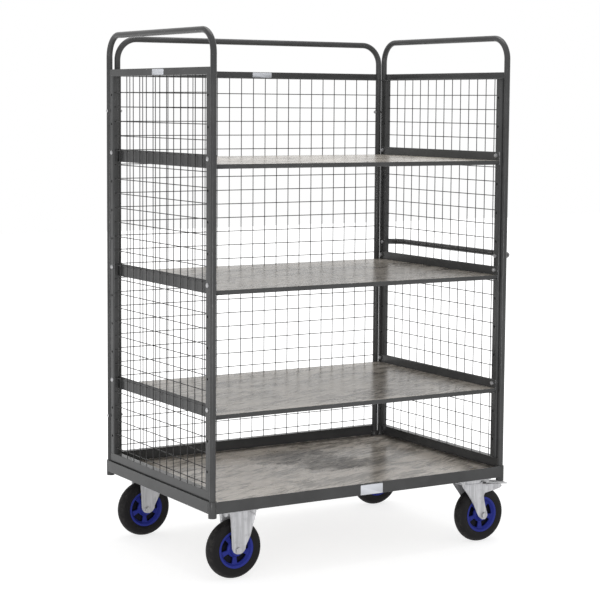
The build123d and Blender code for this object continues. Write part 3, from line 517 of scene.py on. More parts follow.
def bent_tube(foot, rise, span, bend, normal):
    """Round tube bent to a hoop: from the foot along the rise, over by the span and back along the rise.

    On a bend the middle line's place is the corner, less the bend along the way in, plus the bend times
    the sine of the angle along the way in and one less its cosine along the way out. Each ring is a
    circle across the line's direction at its point; the normal is square to the hoop's plane.
    """
    corners = np.array([foot, foot + rise, foot + rise + span, foot + span])
    runs = np.diff(corners, axis=0)
    runs = runs / np.linalg.norm(runs, axis=1, keepdims=True)
    way_in, way_out = runs[:-1, None], runs[1:, None]
    angle = np.linspace(0.0, np.pi / 2, bend_steps + 1)[None, :, None]
    bends = corners[1:-1, None] + bend * ((np.sin(angle) - 1) * way_in + (1 - np.cos(angle)) * way_out)
    line = np.concatenate([corners[:1], bends.reshape(-1, 3), corners[-1:]])
    along = np.gradient(line, axis=0)
    along = along / np.linalg.norm(along, axis=1, keepdims=True)
    side = np.cross(along, normal)[:, None]
    turn = round_steps(tube_sides)[None, :, None]
    return line[:, None] + tube_radius * (np.cos(turn) * side + np.sin(turn) * normal), 0.0, False


coated_hoop = coated("coated_hoop", wear=0.6, dust=0.5)
for panel, kind, outward, run in panels:
    hoop_out, half_width, foot_level, top_level = hoop_sizes[kind]
    foot = chassis_centre + hoop_out * outward - half_width * run + foot_level * along_z
    hoop = bent_tube(foot, (top_level - foot_level) * along_z, 2 * half_width * run, hoop_bend, outward)
    put_together(f"{panel}_panel_hoop", [hoop], coated_hoop, f"{panel}_hoop")

# Punched uprights
# Thin box section with rows of holes through its walls, welded beside the end hoops; shelves bolt to it.
# The CAD shape has the real holes, so it stays, coated like the hoops.
finish_solid(["left_uprights", "right_uprights"], coated_hoop, edge=0.0004)

# Top and bottom rails of the panels
# Light angle welded between the hoops' legs above and below the mesh, whose wires end on its level leg.
# The bottom angle is deeper: it hangs down behind the chassis rail and is cut short beside the sockets.
panel_rail_leg = 0.025
panel_wall = 0.003
top_rail_height = 0.025
bottom_rail_height = 0.040
cut_rail_height = 0.029
opening_bottom = 0.308
opening_top = 1.656
panel_face_x = 0.5915
panel_face_y = 0.3875
panel_rail_sizes = {"end": (panel_face_x, 0.371, 0.37655), "back": (panel_face_y, 0.542, 0.54785)}
top_angle, bottom_angle, cut_angle = (
    angle_outline(panel_rail_leg, height, panel_wall)
    for height in (top_rail_height, bottom_rail_height, cut_rail_height)
)
for panel, kind, outward, run in panels:
    face, cut_reach, reach = panel_rail_sizes[kind]
    top_middle = chassis_centre + face * outward + opening_top * along_z
    bottom_middle = chassis_centre + face * outward + opening_bottom * along_z
    bars = [carried_bar(top_angle, top_middle, run, (-reach, reach), -outward)]
    bars += coped_bar(bottom_angle, cut_angle, bottom_middle, run, cut_reach, reach, -outward, -along_z)
    put_together(f"{panel}_mesh_rails", bars, coated_hoop, f"{panel}_panel_rails")

# Welded mesh of the three panels
# Round 3 mm wires on a 50.8 mm pitch, spot welded where they cross and to the panel's frame.
# The upright wires lie outside the level ones, sunk a little into them at each weld.
wire_radius = 0.0015
wire_sides = 10
wire_pitch = 0.0508
weld_sink = 0.0013
top_wire = 1.600
level_wires = 26
mesh_sizes = {"end": (-0.3159, 13, 0.3445), "back": (-0.508, 21, 0.54665)}
wire_paint = (0.014, 0.0135, 0.0135, 1.0)


def straight_wires(middles, run, low, high, across, up):
    """Circles carried along many straight lines at once: wire, end, place round the wire."""
    angle = round_steps(wire_sides)[:, None]
    ring = wire_radius * (np.cos(angle) * across + np.sin(angle) * up)
    wires = np.stack([middles[:, None] + end * run + ring for end in (low, high)], axis=1)
    return [(wire, 0.0, False) for wire in wires]


coated_wire = coated("coated_wire", wear=0.2, dust=0.0, paint=wire_paint)
wire_heights = top_wire - wire_pitch * np.arange(level_wires)
for panel, kind, outward, run in panels:
    first_wire, wire_count, reach = mesh_sizes[kind]
    centre = chassis_centre + hoop_sizes[kind][0] * outward
    places = first_wire + wire_pitch * np.arange(wire_count)
    uprights = centre + weld_sink * outward + places[:, None] * run
    levels = centre - weld_sink * outward + wire_heights[:, None] * along_z
    wires = straight_wires(uprights, along_z, opening_bottom, opening_top, run, outward)
    wires += straight_wires(levels, run, -reach, reach, along_z, outward)
    put_together(f"{panel}_wires", wires, coated_wire, f"{panel}_mesh")

# Cross bolts of the panels
# Plated cup-head bolts that pull each end hoop to the back hoop, with hexagon nuts inside.
# Forged heads with a short upright rim; the plating is bright.
panel_bolt_y = 0.384
panel_bolt_levels = (0.441, 1.535)
panel_bolt_face_x = 0.59665
panel_bolt_sizes = ((0.006, 0.0032), (0.003, 0.058))
bolt_sides = 24
bolt_rim_share = 0.18
bolt_point = (0.0008, 0.75)


def round_outline(sides):
    """Circle of radius 1 as an outline that nothing has rubbed."""
    turn = round_steps(sides)
    return np.stack([np.cos(turn), np.sin(turn)], axis=1), np.zeros(sides)


def stacked_outline(section, foot, across, up, heights, scales):
    """Outline carried along its normal: each ring is the outline at one height above the foot, scaled."""
    outline, rub = section
    flat = outline[None, :, :1] * across + outline[None, :, 1:] * up
    rise = np.asarray(heights)[:, None, None] * np.cross(across, up)
    return np.asarray(foot) + rise + np.asarray(scales)[:, None, None] * flat, rub[None, :], False


def cup_bolt(side, y, level, face_x, sizes):
    """Bolt along X, turned: a quarter ellipse for the head, a short upright rim, then the plain shank.

    Each ring is a circle at one height along the bolt, and its radius follows the head's ellipse; the
    shank's point is drawn in. The sizes are the radius and height of the head and of the shank.
    """
    (head_radius, head_height), (shank_radius, shank_length) = sizes
    angle = np.linspace(0.04, np.pi / 2, 9)
    rim = bolt_rim_share * head_height
    dome = rim + (head_height - rim) * np.cos(angle)
    heights = np.concatenate([dome, [0.0, 0.0, bolt_point[0] - shank_length, -shank_length]])
    shank = [head_radius, shank_radius, shank_radius, shank_radius * bolt_point[1]]
    radii = np.concatenate([head_radius * np.sin(angle), shank])
    foot = (chassis_middle + side * face_x, y, level)
    return stacked_outline(round_outline(bolt_sides), foot, side * along_y, along_z, heights, radii)


cross_bolts = [
    cup_bolt(side, panel_bolt_y, level, panel_bolt_face_x, panel_bolt_sizes)
    for side in (-1, 1) for level in panel_bolt_levels
]
put_together("cross_bolts", cross_bolts, plated_fastener, "panel_bolts")
finish_solid(["panel_nuts"], plated_fastener, edge=0.0004)

# Shelf frames
# Four angles welded into a tray: high ends that bolt to the uprights, low lips at the front and back.
# Coated as the chassis; the outer edges and the ends are the most rubbed.
shelf_names = ("lower", "middle", "upper")
shelf_bottoms = (0.543, 0.9494, 1.3558)
shelf_end_x = 0.570
shelf_lip_x = 0.567
shelf_front = -0.375
shelf_back = 0.37005
shelf_end_height = 0.045
shelf_lip_height = 0.015
shelf_leg = 0.025
coated_shelf = coated("coated_shelf", wear=0.85, dust=0.5)
tray_end = angle_outline(shelf_leg, shelf_end_height, panel_wall)
tray_lip = angle_outline(shelf_leg, shelf_lip_height, panel_wall)
lip_flat = soft_rectangle((0, 0), (panel_wall, shelf_lip_height), toe_rounding)
lip_reaches = (shelf_end_x - shelf_leg, shelf_lip_x)
for shelf_name, bottom in zip(shelf_names, shelf_bottoms):
    tray = []
    for side in (-1, 1):
        end_middle = (chassis_middle + side * shelf_end_x, 0.0, bottom)
        end_span = (shelf_front, shelf_back)
        tray.append(carried_bar(tray_end, end_middle, along_y, end_span, -side * along_x, worn_ends=True))
    for face_y, inward in ((shelf_front, along_y), (shelf_back, -along_y)):
        lip_middle = (chassis_middle, face_y, bottom)
        tray += coped_bar(tray_lip, lip_flat, lip_middle, along_x, *lip_reaches, inward)
    put_together(f"{shelf_name}_tray", tray, coated_shelf, f"{shelf_name}_shelf_frame")

# Shelf boards
# The same faced panel as the deck, cleaner, let into each tray with its top level with the lips.
# The figure slants as on the deck, without knots.
shelf_shades = ((0.54, 0.495, 0.435, 1.0), (0.16, 0.142, 0.120, 1.0), (0.080, 0.065, 0.050, 1.0))
shelf_facing = faced_board("shelf_facing", shelf_shades, 0.55, (0.6, 0.3, 0.2))
finish_solid([f"{name}_shelf_board" for name in shelf_names], shelf_facing, edge=0.0005)

# Shelf bolts and nuts
# Plated cup-head bolts from outside the uprights, hexagon nuts inside the trays' ends.
# Two at each end of a shelf.
shelf_bolt_y = 0.359
shelf_bolt_levels = (0.575, 0.9814, 1.3878)
shelf_bolt_sizes = ((0.008, 0.005), (0.004, 0.034))
shelf_bolts = [
    cup_bolt(side, face * shelf_bolt_y, level, panel_face_x, shelf_bolt_sizes)
    for side in (-1, 1) for face in (-1, 1) for level in shelf_bolt_levels
]
put_together("tray_bolts", shelf_bolts, plated_fastener, "shelf_bolts")
finish_solid(["shelf_nuts"], plated_fastener, edge=0.0005)

# Push handle
# One bent tube across the right end, bolted to the uprights through threaded inserts in its ends.
# Coated like the frame, with less dust where hands hold it.
handle_bar_x = 0.643
handle_level = 1.031
handle_bend = 0.045
coated_handle = coated("coated_handle", wear=0.9, dust=0.2)
handle_foot = np.array([chassis_middle + panel_face_x, -shelf_bolt_y, handle_level])
handle_rise = (handle_bar_x - panel_face_x) * along_x
handle_bar = bent_tube(handle_foot, handle_rise, 2 * shelf_bolt_y * along_y, handle_bend, along_z)
put_together("handle_bar", [handle_bar], coated_handle, "push_handle")
finish_solid(["handle_inserts", "handle_bolts"], plated_fastener, edge=0.0004)

# Castor studs and nuts
# Plated studs welded into the rails and pads, with hexagon nuts under the castor plates.
# The CAD shapes stay, with their edges softened.
finish_solid(["castor_studs", "castor_nuts"], plated_fastener, edge=0.0006)

# Forks of the fixed castors
# Pressed steel: a rounded plate under the chassis and two tapered legs with flared edges.
# Bright zinc plated.
castor_side_y = 0.335
fixed_castor_x = -0.480
plate_bottom = 0.233
plate_half = np.array([0.0675, 0.055])
plate_thickness = 0.005
plate_corner = 0.008
plate_edge = 0.0008
leg_wall = 0.004
leg_rim = 0.0007
leg_points = 25
leg_outer_face = 0.0345
tip_foot_half = 0.006
tip_steps = 12
fixed_tip = (0.0035, 0.112)
fixed_tip_radius = 0.026
fixed_top = 0.234
fixed_rows = 26
fixed_front_edge = np.array([(-0.0225, 0.112), (-0.033, 0.234)])
fixed_rear_edge = np.array([(0.0295, 0.112), (0.0455, 0.148), (0.053, 0.182), (0.067, 0.234)])
fixed_flare = (0.0055, 0.009)
fixed_spread = (0.009, 0.017)
fixed_growth = np.array([(0.112, 0.0), (0.140, 0.35), (0.214, 1.0), (0.226, 0.0)])
fork_zinc = (0.50, 0.50, 0.515, 1.0)


def fork_leg(x, y, inward, levels, edges, flares, spread):
    """Leg of pressed sheet, flat in the middle and bent out of its plane along both edges.

    The place across goes evenly from the lead edge to the rear edge. Near an edge the sheet leaves its
    plane by the flare times the square of the nearness, which falls to zero over the spread. The
    outer face is followed by the inner one, a sheet's thickness away, with a rounded rim between them.
    The level is one parameter, the place round the section the other.
    """
    lead, rear = (edge[:, None] for edge in edges)
    share = np.linspace(0.0, 1.0, leg_points)[None, :]
    along = lead + share * (rear - lead)
    near_lead = np.clip(1 - (along - lead) / spread[0], 0.0, 1.0)
    near_rear = np.clip(1 - (rear - along) / spread[1], 0.0, 1.0)
    out = flares[0][:, None] * near_lead**2 + flares[1][:, None] * near_rear**2
    rim = leg_rim * np.where((share == 0.0) | (share == 1.0), 1.0, 0.0)
    section = np.concatenate([along, along[:, ::-1]], axis=1)
    deep = np.concatenate([rim - out, (leg_wall - rim - out)[:, ::-1]], axis=1)
    height = np.broadcast_to(levels[:, None], section.shape)
    outer = y - inward * leg_outer_face
    return np.stack([x + section, outer + inward * deep, height], axis=-1), 0.0, False


def tip_levels(radius, centre, top, count):
    """Levels of a leg: close together round the tip down to its small flat foot, even above it."""
    turn = np.linspace(-np.arccos(tip_foot_half / radius), 0.0, tip_steps)
    return np.concatenate([centre + radius * np.sin(turn), np.linspace(centre, top, count)[1:]])


def leg_edges(levels, lead, rear, tip, radius):
    """Lead and rear edge of a leg at each level: on the round tip below an edge's points, then on them.

    On the tip it is the tip's middle, less or plus the root of the radius squared less the drop squared.
    """
    half = np.sqrt(radius**2 - np.minimum(levels - tip[1], 0.0) ** 2)
    return [
        np.where(levels < edge[0, 1], tip[0] + way * half, np.interp(levels, edge[:, 1], edge[:, 0]))
        for edge, way in ((lead, -1), (rear, 1))
    ]


plated_fork = plated("plated_fork", fork_zinc, stain=0.40, metallic=0.5)
fixed_levels = tip_levels(fixed_tip_radius, fixed_tip[1], fixed_top, fixed_rows)
fixed_edges = leg_edges(fixed_levels, fixed_front_edge, fixed_rear_edge, fixed_tip, fixed_tip_radius)
fixed_flares = np.outer(fixed_flare, np.interp(fixed_levels, fixed_growth[:, 0], fixed_growth[:, 1]))
plate_outline = soft_rectangle(-plate_half, plate_half, plate_corner, 6)
plate_heights = (0.0, plate_edge, plate_thickness - plate_edge, plate_thickness)
plate_drawn = 1 - plate_edge / plate_half[1]
plate_scales = (plate_drawn, 1.0, 1.0, plate_drawn)
for castor, side in (("front_left", -1), ("back_left", 1)):
    x, y = chassis_middle + fixed_castor_x, side * castor_side_y
    plate_foot = (x, y, plate_bottom)
    shells = [stacked_outline(plate_outline, plate_foot, along_x, along_y, plate_heights, plate_scales)]
    for inward in (-1, 1):
        shells.append(fork_leg(x, y, inward, fixed_levels, fixed_edges, fixed_flares, fixed_spread))
    put_together(f"{castor}_pressed_fork", shells, plated_fork, f"{castor}_fork")
finish_solid(["fixed_axles"], plated_fastener, edge=0.0007)

# Swivel heads of the right castors
# Plated top plate with a pressed race and skirt, a ring of balls and a riveted kingpin.
# The CAD shapes stay.
finish_solid(["swivel_top_plates"], plated_fork, edge=0.0008)
finish_solid(["kingpins", "swivel_balls"], plated_fastener, edge=0.0005)

# Forks of the swivel castors
# Pressed crown that turns on the balls, two raked legs, and horns at the back that carry the pedal.
# Bright zinc plated like the fixed ones.
swivel_axis_x = 0.480
wheel_trail = 0.050
axle_level = 0.100
tyre_top = 0.200
crown_bottom = 0.2179
crown_height = 0.004
crown_radius = 0.050
crown_edge = 0.001
crown_sides = 64
swivel_tip = (wheel_trail, axle_level)
swivel_tip_radius = 0.0165
shank_drop = 0.032
shank_rows = 20
lead_edge = np.array([
    (0.038, -0.112), (0.028, -0.103), (0.019, -0.086), (0.010, -0.064), (-0.004, -0.041), (-0.017, -0.022),
    (-0.035, 0.001), (-0.046, 0.017), (-0.046, 0.0219),
]) + (0.0, tyre_top)
rear_edge = np.array([
    (0.0665, -0.100), (0.061, -0.074), (0.054, -0.045), (0.052, -0.030), (0.058, -0.020), (0.076, -0.017),
    (0.103, -0.013), (0.126, -0.008), (0.133, -0.002), (0.126, 0.006), (0.046, 0.014), (0.046, 0.0219),
]) + (0.0, tyre_top)
horn_levels = tyre_top + np.array([
    -0.030, -0.027, -0.0235, -0.020, -0.0185, -0.017, -0.015, -0.013, -0.0105, -0.008, -0.005, -0.002, 0.001,
    0.0035, 0.006, 0.008, 0.010, 0.012, 0.014, 0.017, 0.0219,
])
swivel_turn_in = 0.0035
turn_in_rise = 0.04
swivel_spread = (0.007, 0.007)
swivel_castors = (("front_right", -1), ("back_right", 1))
shank_levels = tip_levels(swivel_tip_radius, axle_level, tyre_top - shank_drop, shank_rows)
swivel_levels = np.concatenate([shank_levels, horn_levels])
swivel_edges = leg_edges(swivel_levels, lead_edge, rear_edge, swivel_tip, swivel_tip_radius)
swivel_bend = -swivel_turn_in * np.clip((swivel_levels - axle_level) / turn_in_rise, 0.0, 1.0)
crown_outline = round_outline(crown_sides)
crown_heights = (0.0, crown_edge, crown_height - crown_edge, crown_height)
crown_radii = (crown_radius - crown_edge, crown_radius, crown_radius, crown_radius - crown_edge)
for castor, side in swivel_castors:
    x, y = chassis_middle + swivel_axis_x, side * castor_side_y
    crown_foot = (x, y, crown_bottom)
    shells = [stacked_outline(crown_outline, crown_foot, along_x, along_y, crown_heights, crown_radii)]
    for inward in (-1, 1):
        bends = (swivel_bend, swivel_bend)
        shells.append(fork_leg(x, y, inward, swivel_levels, swivel_edges, bends, swivel_spread))
    put_together(
        f"{castor}_pressed_fork", shells, plated_fork, f"{castor}_fork", f"{castor}_swivel"
    )
finish_solid(["front_right_axle", "back_right_axle"], plated_fastener, edge=0.0007)

# Brake pedals
# Pressed and plated treadle on a pin between the horns, with raised grip bars and a shoe over the tyre.
# Treading it down presses the shoe on the wheel.
pivot_x = 0.065
pivot_level = 0.208
pedal_half_width = 0.026
pedal_reach = 0.095
pedal_top = (0.010, 0.0062)
pedal_toe = -0.0020
pedal_corners = [
    (-0.0062, -0.0022), (0.0, -0.0066), (0.0170, -0.0060), (0.0185, -0.0085), (0.034, -0.0085),
    (0.0355, -0.0010), (pedal_reach, -0.0070), (pedal_reach, pedal_toe), pedal_top, (0.0, 0.0068),
    (-0.0062, 0.0028),
]
pedal_softness = [0.003, 0.003, 0.001, 0.001, 0.001, 0.001, 0.0022, 0.0022, 0.01, 0.004, 0.003]
grip_places = np.linspace(0.040, 0.088, 7)
grip_levels = np.interp(grip_places, (pedal_top[0], pedal_reach), (pedal_top[1], pedal_toe))
grip_half_width = 0.021
grip_softness = [0.0002, 0.0002, 0.0008, 0.0008]
pedal_zinc = (0.54, 0.54, 0.55, 1.0)
plated_pedal = plated("plated_pedal", pedal_zinc, stain=0.45, metallic=0.6)
pedal_outline = rounded_outline(pedal_corners, pedal_softness)
grip_outline = soft_rectangle((-0.0016, -0.0006), (0.0016, 0.0012), grip_softness)
for castor, side in swivel_castors:
    pivot = np.array([chassis_middle + swivel_axis_x + pivot_x, side * castor_side_y, pivot_level])
    bars = [(pedal_outline, pivot, pedal_half_width)]
    for place, level in zip(grip_places, grip_levels):
        bars.append((grip_outline, pivot + place * along_x + level * along_z, grip_half_width))
    shells = [
        carried_bar(section, middle, along_y, (-half, half), along_x, worn_ends=True)
        for section, middle, half in bars
    ]
    put_together(
        f"{castor}_treadle", shells, plated_pedal, f"{castor}_brake_pedal", f"{castor}_pedal"
    )
finish_solid(["front_right_brake_pin", "back_right_brake_pin"], plated_fastener, edge=0.0004)

# Wheel centres
# Moulded blue plastic: a rim with rounded lips, a long hub, five broad spokes and a thin web between them.
# The moulding has a fine grain and the rim's lips are scuffed; the pockets are painted near black, a painted
# shade.
wheel_centres = {
    f"{face}_{end}": np.array([chassis_middle + place_x, side * castor_side_y, axle_level])
    for end, place_x in (("left", fixed_castor_x), ("right", swivel_axis_x + wheel_trail))
    for face, side in (("front", -1), ("back", 1))
}
rim_half = [
    (0.064, 0.022, 0.001), (0.0570, 0.022, 0.002), (0.0545, 0.018, 0.003), (0.0525, 0.014, 0.003),
    (0.0500, 0.012, 0.002),
]
hub_half = [
    (0.012, 0.030, 0.0004), (0.0195, 0.030, 0.001), (0.0210, 0.0285, 0.001), (0.0215, 0.018, 0.004),
    (0.0280, 0.012, 0.002),
]
web_half = [(0.052, 0.0025, 0.0005), (0.026, 0.0025, 0.0005)]
ring_steps = ((rim_half, 96), (hub_half, 64), (web_half, 96))
spoke_count = 5
first_spoke = np.radians(126.0)
spoke_radii = np.linspace(0.024, 0.056, 17)
spoke_waist = 0.0395
spoke_half_run = 0.0155
spoke_wedge = 0.205
spoke_root = 0.0055
spoke_half_thickness = 0.012
pocket_depth = (0.0032, 0.0105)
# Near-black colour of the pockets: painted shade where the web lies deep between the spokes.
pocket_painted_shade = (0.0025, 0.0027, 0.008, 1.0)
blue_shades = ((0.019, 0.026, 0.180, 1.0), (0.026, 0.036, 0.260, 1.0))
scuffed_blue = (0.06, 0.08, 0.34, 1.0)


def two_faced(half):
    """Outline of a wheel's ring from the radius, half width and softness of its corners on one face."""
    radius, width, softness = np.array(half + half[::-1]).T
    mirror = np.repeat([1.0, -1.0], len(half))
    return rounded_outline(np.stack([radius, width * mirror], axis=1), softness)


def turned_ring(section, centre, steps):
    """Profile of radius and width carried once round the axle: angle, then place round the profile."""
    outline, rub = section
    turn = round_steps(steps)[:, None, None]
    spread = np.cos(turn) * along_x + np.sin(turn) * along_z
    rings = centre + outline[None, :, :1] * spread + outline[None, :, 1:] * along_y
    return rings, rub[None, :], True


def broad_spoke(centre, angle):
    """Spoke from hub to rim: a soft square carried outwards, wider at both ends than in the middle.

    The half width is a wedge that grows with the radius, plus the fourth power of the distance from the
    waist, so the windows between spokes get round corners.
    """
    outline, rub = soft_rectangle((-1.0, -1.0), (1.0, 1.0), 0.25, rub=0.2)
    from_waist = (spoke_radii - spoke_waist) / spoke_half_run
    half_width = spoke_wedge * spoke_radii + spoke_root * from_waist**4
    outwards = np.cos(angle) * along_x + np.sin(angle) * along_z
    sideways = -np.sin(angle) * along_x + np.cos(angle) * along_z
    rings = centre + spoke_radii[:, None, None] * outwards
    rings = rings + half_width[:, None, None] * outline[None, :, :1] * sideways
    rings = rings + spoke_half_thickness * outline[None, :, 1:] * along_y
    return rings, 0.5 * rub[None, :], False


def cloudy_skin():
    """Shader group of a plain surface: two shades that follow a cloudy pattern, which also dulls it.

    Where the surface is rubbed it takes a share of the rubbed shade, in marks that come in between two
    limits of another pattern; with both limits below zero the marks run together. The height is a fine
    grain.
    """
    skin, given, out = surface_group(
        "cloudy_skin", Dark=blue_shades[0], Light=blue_shades[1], Cloud_Scale=45.0, Cloud_Detail=5.0,
        Cloud_Roughness=0.6, Dulling=0.2, Smoothest=0.3, Rubbed=scuffed_blue, Rub_Share=0.0,
        Marks_Scale=100.0, Marks_Low=-2.0, Marks_High=-1.0, Grain_Scale=1000.0, Grain_Detail=2.0,
        Grain_Roughness=0.5,
    )
    place = object_place(skin)
    cloud = noise(skin, place, *(given[f"Cloud {key}"] for key in ("Scale", "Detail", "Roughness")))
    grain = noise(skin, place, *(given[f"Grain {key}"] for key in ("Scale", "Detail", "Roughness")))
    marks = noise(skin, place, given["Marks Scale"], 6.0, 0.7)
    marked = ramp(skin, marks, given["Marks Low"], given["Marks High"])
    rub = times(skin, times(skin, rub_share(skin), given["Rub Share"]), marked)
    colour = blend(skin, cloud, given["Dark"], given["Light"])
    feed(skin, out["Colour"], blend(skin, rub, colour, given["Rubbed"]))
    feed(skin, out["Roughness"], scaled(skin, cloud, given["Dulling"], given["Smoothest"]))
    feed(skin, out["Height"], grain)
    return skin


plain_skin = cloudy_skin()


def cloudy(name, shades, relief, shine=0.5, pockets=None, **values):
    """Plain surface: the cloudy skin in two shades, with its own values.

    In a wheel's pockets, close to its middle plane, the colour goes to a near-black painted shade.
    """
    material, tree = new_material(name)
    skin = node(tree, "Group", {"node_tree": plain_skin}, Dark=shades[0], Light=shades[1], **values)
    colour, roughness, height = skin.outputs
    if pockets:
        across = node(tree, "SeparateXYZ", Vector=object_place(tree)).outputs[1]
        beside = maths(tree, "SUBTRACT", maths(tree, "ABSOLUTE", across), castor_side_y)
        depth = ramp(tree, maths(tree, "ABSOLUTE", beside), *pocket_depth)
        # Painted shade: darker towards the web, deep in the pockets.
        colour = blend(tree, depth, pockets, colour)
    finish_shader(tree, colour, roughness, height, relief, shine)
    return material


moulded_blue = cloudy(
    "moulded_blue", blue_shades, relief=(0.12, 0.0002), shine=0.12, pockets=pocket_painted_shade, Cloud_Scale=45.0,
    Grain_Scale=1500.0, Dulling=0.25, Smoothest=0.30, Rubbed=scuffed_blue, Rub_Share=0.18,
    Marks_Scale=160.0, Marks_Low=0.40, Marks_High=0.66,
)
for castor, centre in wheel_centres.items():
    shells = [turned_ring(two_faced(half), centre, steps) for half, steps in ring_steps]
    shells += [broad_spoke(centre, first_spoke + turn) for turn in round_steps(spoke_count)]
    piece_name, node_name = f"{castor}_moulded_centre", f"{castor}_wheel_centre"
    put_together(piece_name, shells, moulded_blue, node_name, f"{castor}_wheel")

# Tyres
# Solid black rubber pressed on the centre, with bulged sides, a rounded tread and moulded rings.
# Dull, with pale dust on the tread and a fine moulding grain.
tyre_half = np.array([
    (0.064, 0.0215), (0.0655, 0.0226), (0.0675, 0.0236), (0.069, 0.0232), (0.070, 0.0238), (0.074, 0.0247),
    (0.0785, 0.025), (0.083, 0.0247), (0.0845, 0.0241), (0.0855, 0.0243), (0.088, 0.0232), (0.091, 0.0212),
    (0.0932, 0.0188), (0.094, 0.0178), (0.0938, 0.017), (0.0952, 0.0158), (0.0972, 0.0122), (0.0986, 0.0082),
    (0.0996, 0.0042), (0.0999, 0.0018), (0.1, 0.0),
])
tyre_steps = 112
tread_radii = (0.088, 0.096)
rubber_shades = ((0.0036, 0.0032, 0.0036, 1.0), (0.0078, 0.0070, 0.0078, 1.0))
tread_dust = (0.10, 0.095, 0.085, 1.0)
tyre_rubber = cloudy(
    "tyre_rubber", rubber_shades, relief=(0.25, 0.0004), shine=0.22, Cloud_Scale=34.0, Cloud_Roughness=0.62,
    Grain_Scale=750.0, Grain_Detail=3.0, Grain_Roughness=0.6, Dulling=0.22, Smoothest=0.52,
    Rubbed=tread_dust, Rub_Share=0.22, Marks_Scale=70.0, Marks_Low=0.42, Marks_High=0.70,
)
tyre_points = np.concatenate([tyre_half, tyre_half[-2::-1] * (1.0, -1.0)])
tyre_outline = (tyre_points, np.interp(tyre_points[:, 0], tread_radii, (0.0, 1.0)))
for castor, centre in wheel_centres.items():
    tyre = turned_ring(tyre_outline, centre, tyre_steps)
    put_together(f"{castor}_rubber", [tyre], tyre_rubber, f"{castor}_tyre", f"{castor}_wheel")

# Wheel bearings
# Plain nylon sleeves pressed into the hubs, running on the axle bolts.
# Off-white, with a faint grain.
nylon_shades = ((0.50, 0.48, 0.42, 1.0), (0.66, 0.64, 0.58, 1.0))
nylon_sleeve = cloudy(
    "nylon_sleeve", nylon_shades, relief=(0.10, 0.0002), Cloud_Scale=120.0, Cloud_Detail=4.0,
    Grain_Scale=900.0, Dulling=0.20, Smoothest=0.35,
)
finish_solid([f"{castor}_wheel_bearing" for castor in wheel_centres], nylon_sleeve, edge=0.0005)

# Blank plates
# Three thin pale plates stuck on the chassis front and on the top rails of the left and back panels.
# Bare film over thin sheet, with a slight grain and edges a little worn.
film_heights = (-0.0002, 0.00056, 0.0007)
film_scales = (1.0, 1.0, 0.994)
film_corner = 0.002
film_shades = ((0.60, 0.62, 0.67, 1.0), (0.72, 0.74, 0.78, 1.0))
film_edge = (0.33, 0.34, 0.36, 1.0)
film_places = (
    ((chassis_middle + 0.025, -chassis_half_width, 0.256), along_x, np.array([0.045, 0.017])),
    ((chassis_middle - panel_face_x, -0.004, 1.6685), -along_y, np.array([0.042, 0.010])),
    ((chassis_middle + 0.0375, panel_face_y - panel_wall, 1.6700), along_x, np.array([0.0405, 0.0095])),
)
blank_plate = cloudy(
    "blank_plate", film_shades, relief=(0.08, 0.0001), Cloud_Scale=55.0, Grain_Scale=1300.0, Dulling=0.20,
    Smoothest=0.28, Rubbed=film_edge, Rub_Share=0.45,
)
plates = []
for middle, across, half in film_places:
    outline = soft_rectangle(-half, half, film_corner, 5, film_corner)
    plates.append(stacked_outline(outline, middle, across, along_z, film_heights, film_scales))
put_together("blank_plates", plates, blank_plate)

# Floor and light
# A plain white studio floor that keeps the trolley's soft shadow, in a white room.
# A low strip glints on the tubes; side and front fills light without being mirrored; one lamp hangs above.
floor_half = 14.0
floor_fade = (0.7, 2.6)
room_light = 0.61


def seen_rays(tree):
    """1 for rays that show a thing to the camera, mirrored or through glass; 0 for rays that light it."""
    path = node(tree, "LightPath").outputs
    seen = maths(tree, "MAXIMUM", path["Is Camera Ray"], path["Is Glossy Ray"])
    return maths(tree, "MAXIMUM", seen, path["Is Transmission Ray"])


def facing_matrix(place, ahead, roll=0.0):
    """Matrix of a lamp or camera: it looks along its own minus Z, with X level before the roll."""
    ahead = ahead / np.linalg.norm(ahead)
    right = np.cross(ahead, along_z)
    right = right / np.linalg.norm(right)
    up = np.cross(right, ahead)
    turned_right = right * np.cos(roll) + up * np.sin(roll)
    turned_up = up * np.cos(roll) - right * np.sin(roll)
    matrix = np.eye(4)
    matrix[:3] = np.stack([turned_right, turned_up, -ahead, place], axis=1)
    return Matrix(matrix.tolist())


def soft_box(name, place, aim, size, power, glints):
    """Lamp of a width and height at a place, turned to its aim.

    A lamp that doesn't glint lights the trolley, but isn't mirrored in it.
    """
    lamp = bpy.data.lights.new(name, "AREA")
    lamp.shape = "RECTANGLE"
    lamp.size, lamp.size_y = size
    lamp.energy = power
    holder = bpy.data.objects.new(name, lamp)
    bpy.context.collection.objects.link(holder)
    holder.matrix_world = facing_matrix(place, np.subtract(aim, place))
    holder.visible_glossy = glints


floor_mesh = bpy.data.meshes.new("studio_floor")
floor_corners = floor_half * np.array([(-1, -1, 0), (1, -1, 0), (1, 1, 0), (-1, 1, 0)])
floor_mesh.from_pydata(floor_corners, [], [(0, 1, 2, 3)])
studio_floor = bpy.data.objects.new("studio_floor", floor_mesh)
bpy.context.collection.objects.link(studio_floor)
floor_paint, floor_tree = new_material("studio_floor")
floor_tree.nodes.clear()
floor_seen = seen_rays(floor_tree)
floor_away = ramp(floor_tree, distance(floor_tree, object_place(floor_tree)), *floor_fade)
floor_glow = times(floor_tree, floor_seen, scaled(floor_tree, floor_away, 0.34, 0.74))
floor_colour = blend(floor_tree, floor_seen, (0.86, 0.86, 0.86, 1.0), (0.46, 0.46, 0.46, 1.0))
floor_face = node(floor_tree, "BsdfDiffuse", Color=floor_colour).outputs[0]
floor_lift = node(floor_tree, "Emission", Strength=floor_glow).outputs[0]
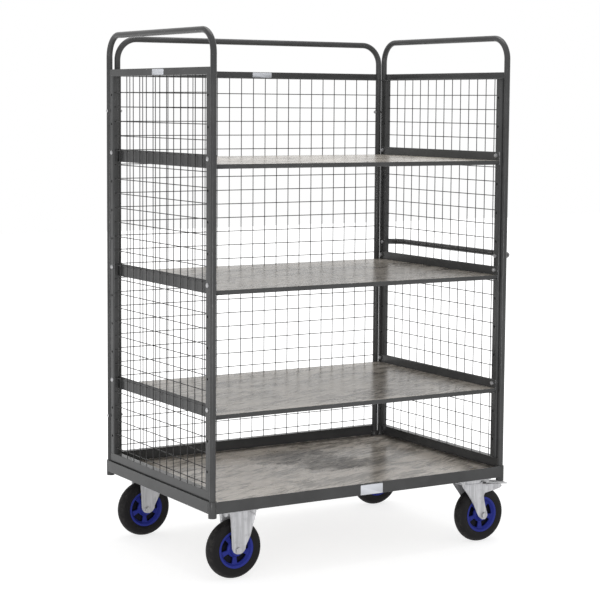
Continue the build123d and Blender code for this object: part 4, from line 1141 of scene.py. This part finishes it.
floor_sum = node(floor_tree, "AddShader", i0=floor_face, i1=floor_lift).outputs[0]
node(floor_tree, "OutputMaterial", Surface=floor_sum)
floor_mesh.materials.append(floor_paint)

studio = bpy.data.worlds.new("studio")
bpy.context.scene.world = studio
studio.use_nodes = True
room_tree = studio.node_tree
room_tree.nodes.clear()
room_glow = node(room_tree, "Background", Color=(1.0, 1.0, 1.0, 1.0), Strength=room_light).outputs[0]
room_white = node(room_tree, "Background", Color=(1.0, 1.0, 1.0, 1.0), Strength=1.0).outputs[0]
room_mix = node(room_tree, "MixShader", i0=seen_rays(room_tree), i1=room_glow, i2=room_white).outputs[0]
node(room_tree, "OutputWorld", Surface=room_mix)

soft_box("low_strip", (-4.6, -3.9, 0.45), aim=(0.0, 0.0, 0.45), size=(0.35, 0.9), power=44.0, glints=True)
soft_box("side_fill", (-4.6, -3.9, 1.3), aim=(0.0, 0.0, 1.0), size=(0.8, 3.0), power=36.0, glints=False)
soft_box("front_fill", (-2.6, -6.2, 1.4), aim=(0.0, 0.0, 0.8), size=(2.4, 2.0), power=88.0, glints=False)
soft_box("top_lamp", (0.3, 0.4, 5.0), aim=(0.0, 0.0, 0.9), size=(3.0, 3.0), power=80.0, glints=True)

# Camera
# Stands in front and to the left at the photograph's angle, a little above the middle of the trolley.
# A long lens, with a small downward shift for the frame.
camera_place = (-3.276784, -5.298995, 1.568716)
camera_yaw = np.radians(-31.32367)
camera_pitch = np.radians(5.45684)
camera_roll = np.radians(0.42015)
camera_lens = bpy.data.cameras.new("photo_camera")
camera_lens.lens = 105.0633
camera_lens.sensor_width = 36.0
camera_lens.shift_y = -0.05
camera = bpy.data.objects.new("photo_camera", camera_lens)
bpy.context.collection.objects.link(camera)
camera_level = np.cos(camera_yaw) * along_y - np.sin(camera_yaw) * along_x
camera_ahead = np.cos(camera_pitch) * camera_level - np.sin(camera_pitch) * along_z
camera.matrix_world = facing_matrix(camera_place, camera_ahead, camera_roll)
bpy.context.scene.camera = camera
bpy.context.scene.view_settings.view_transform = "Standard"
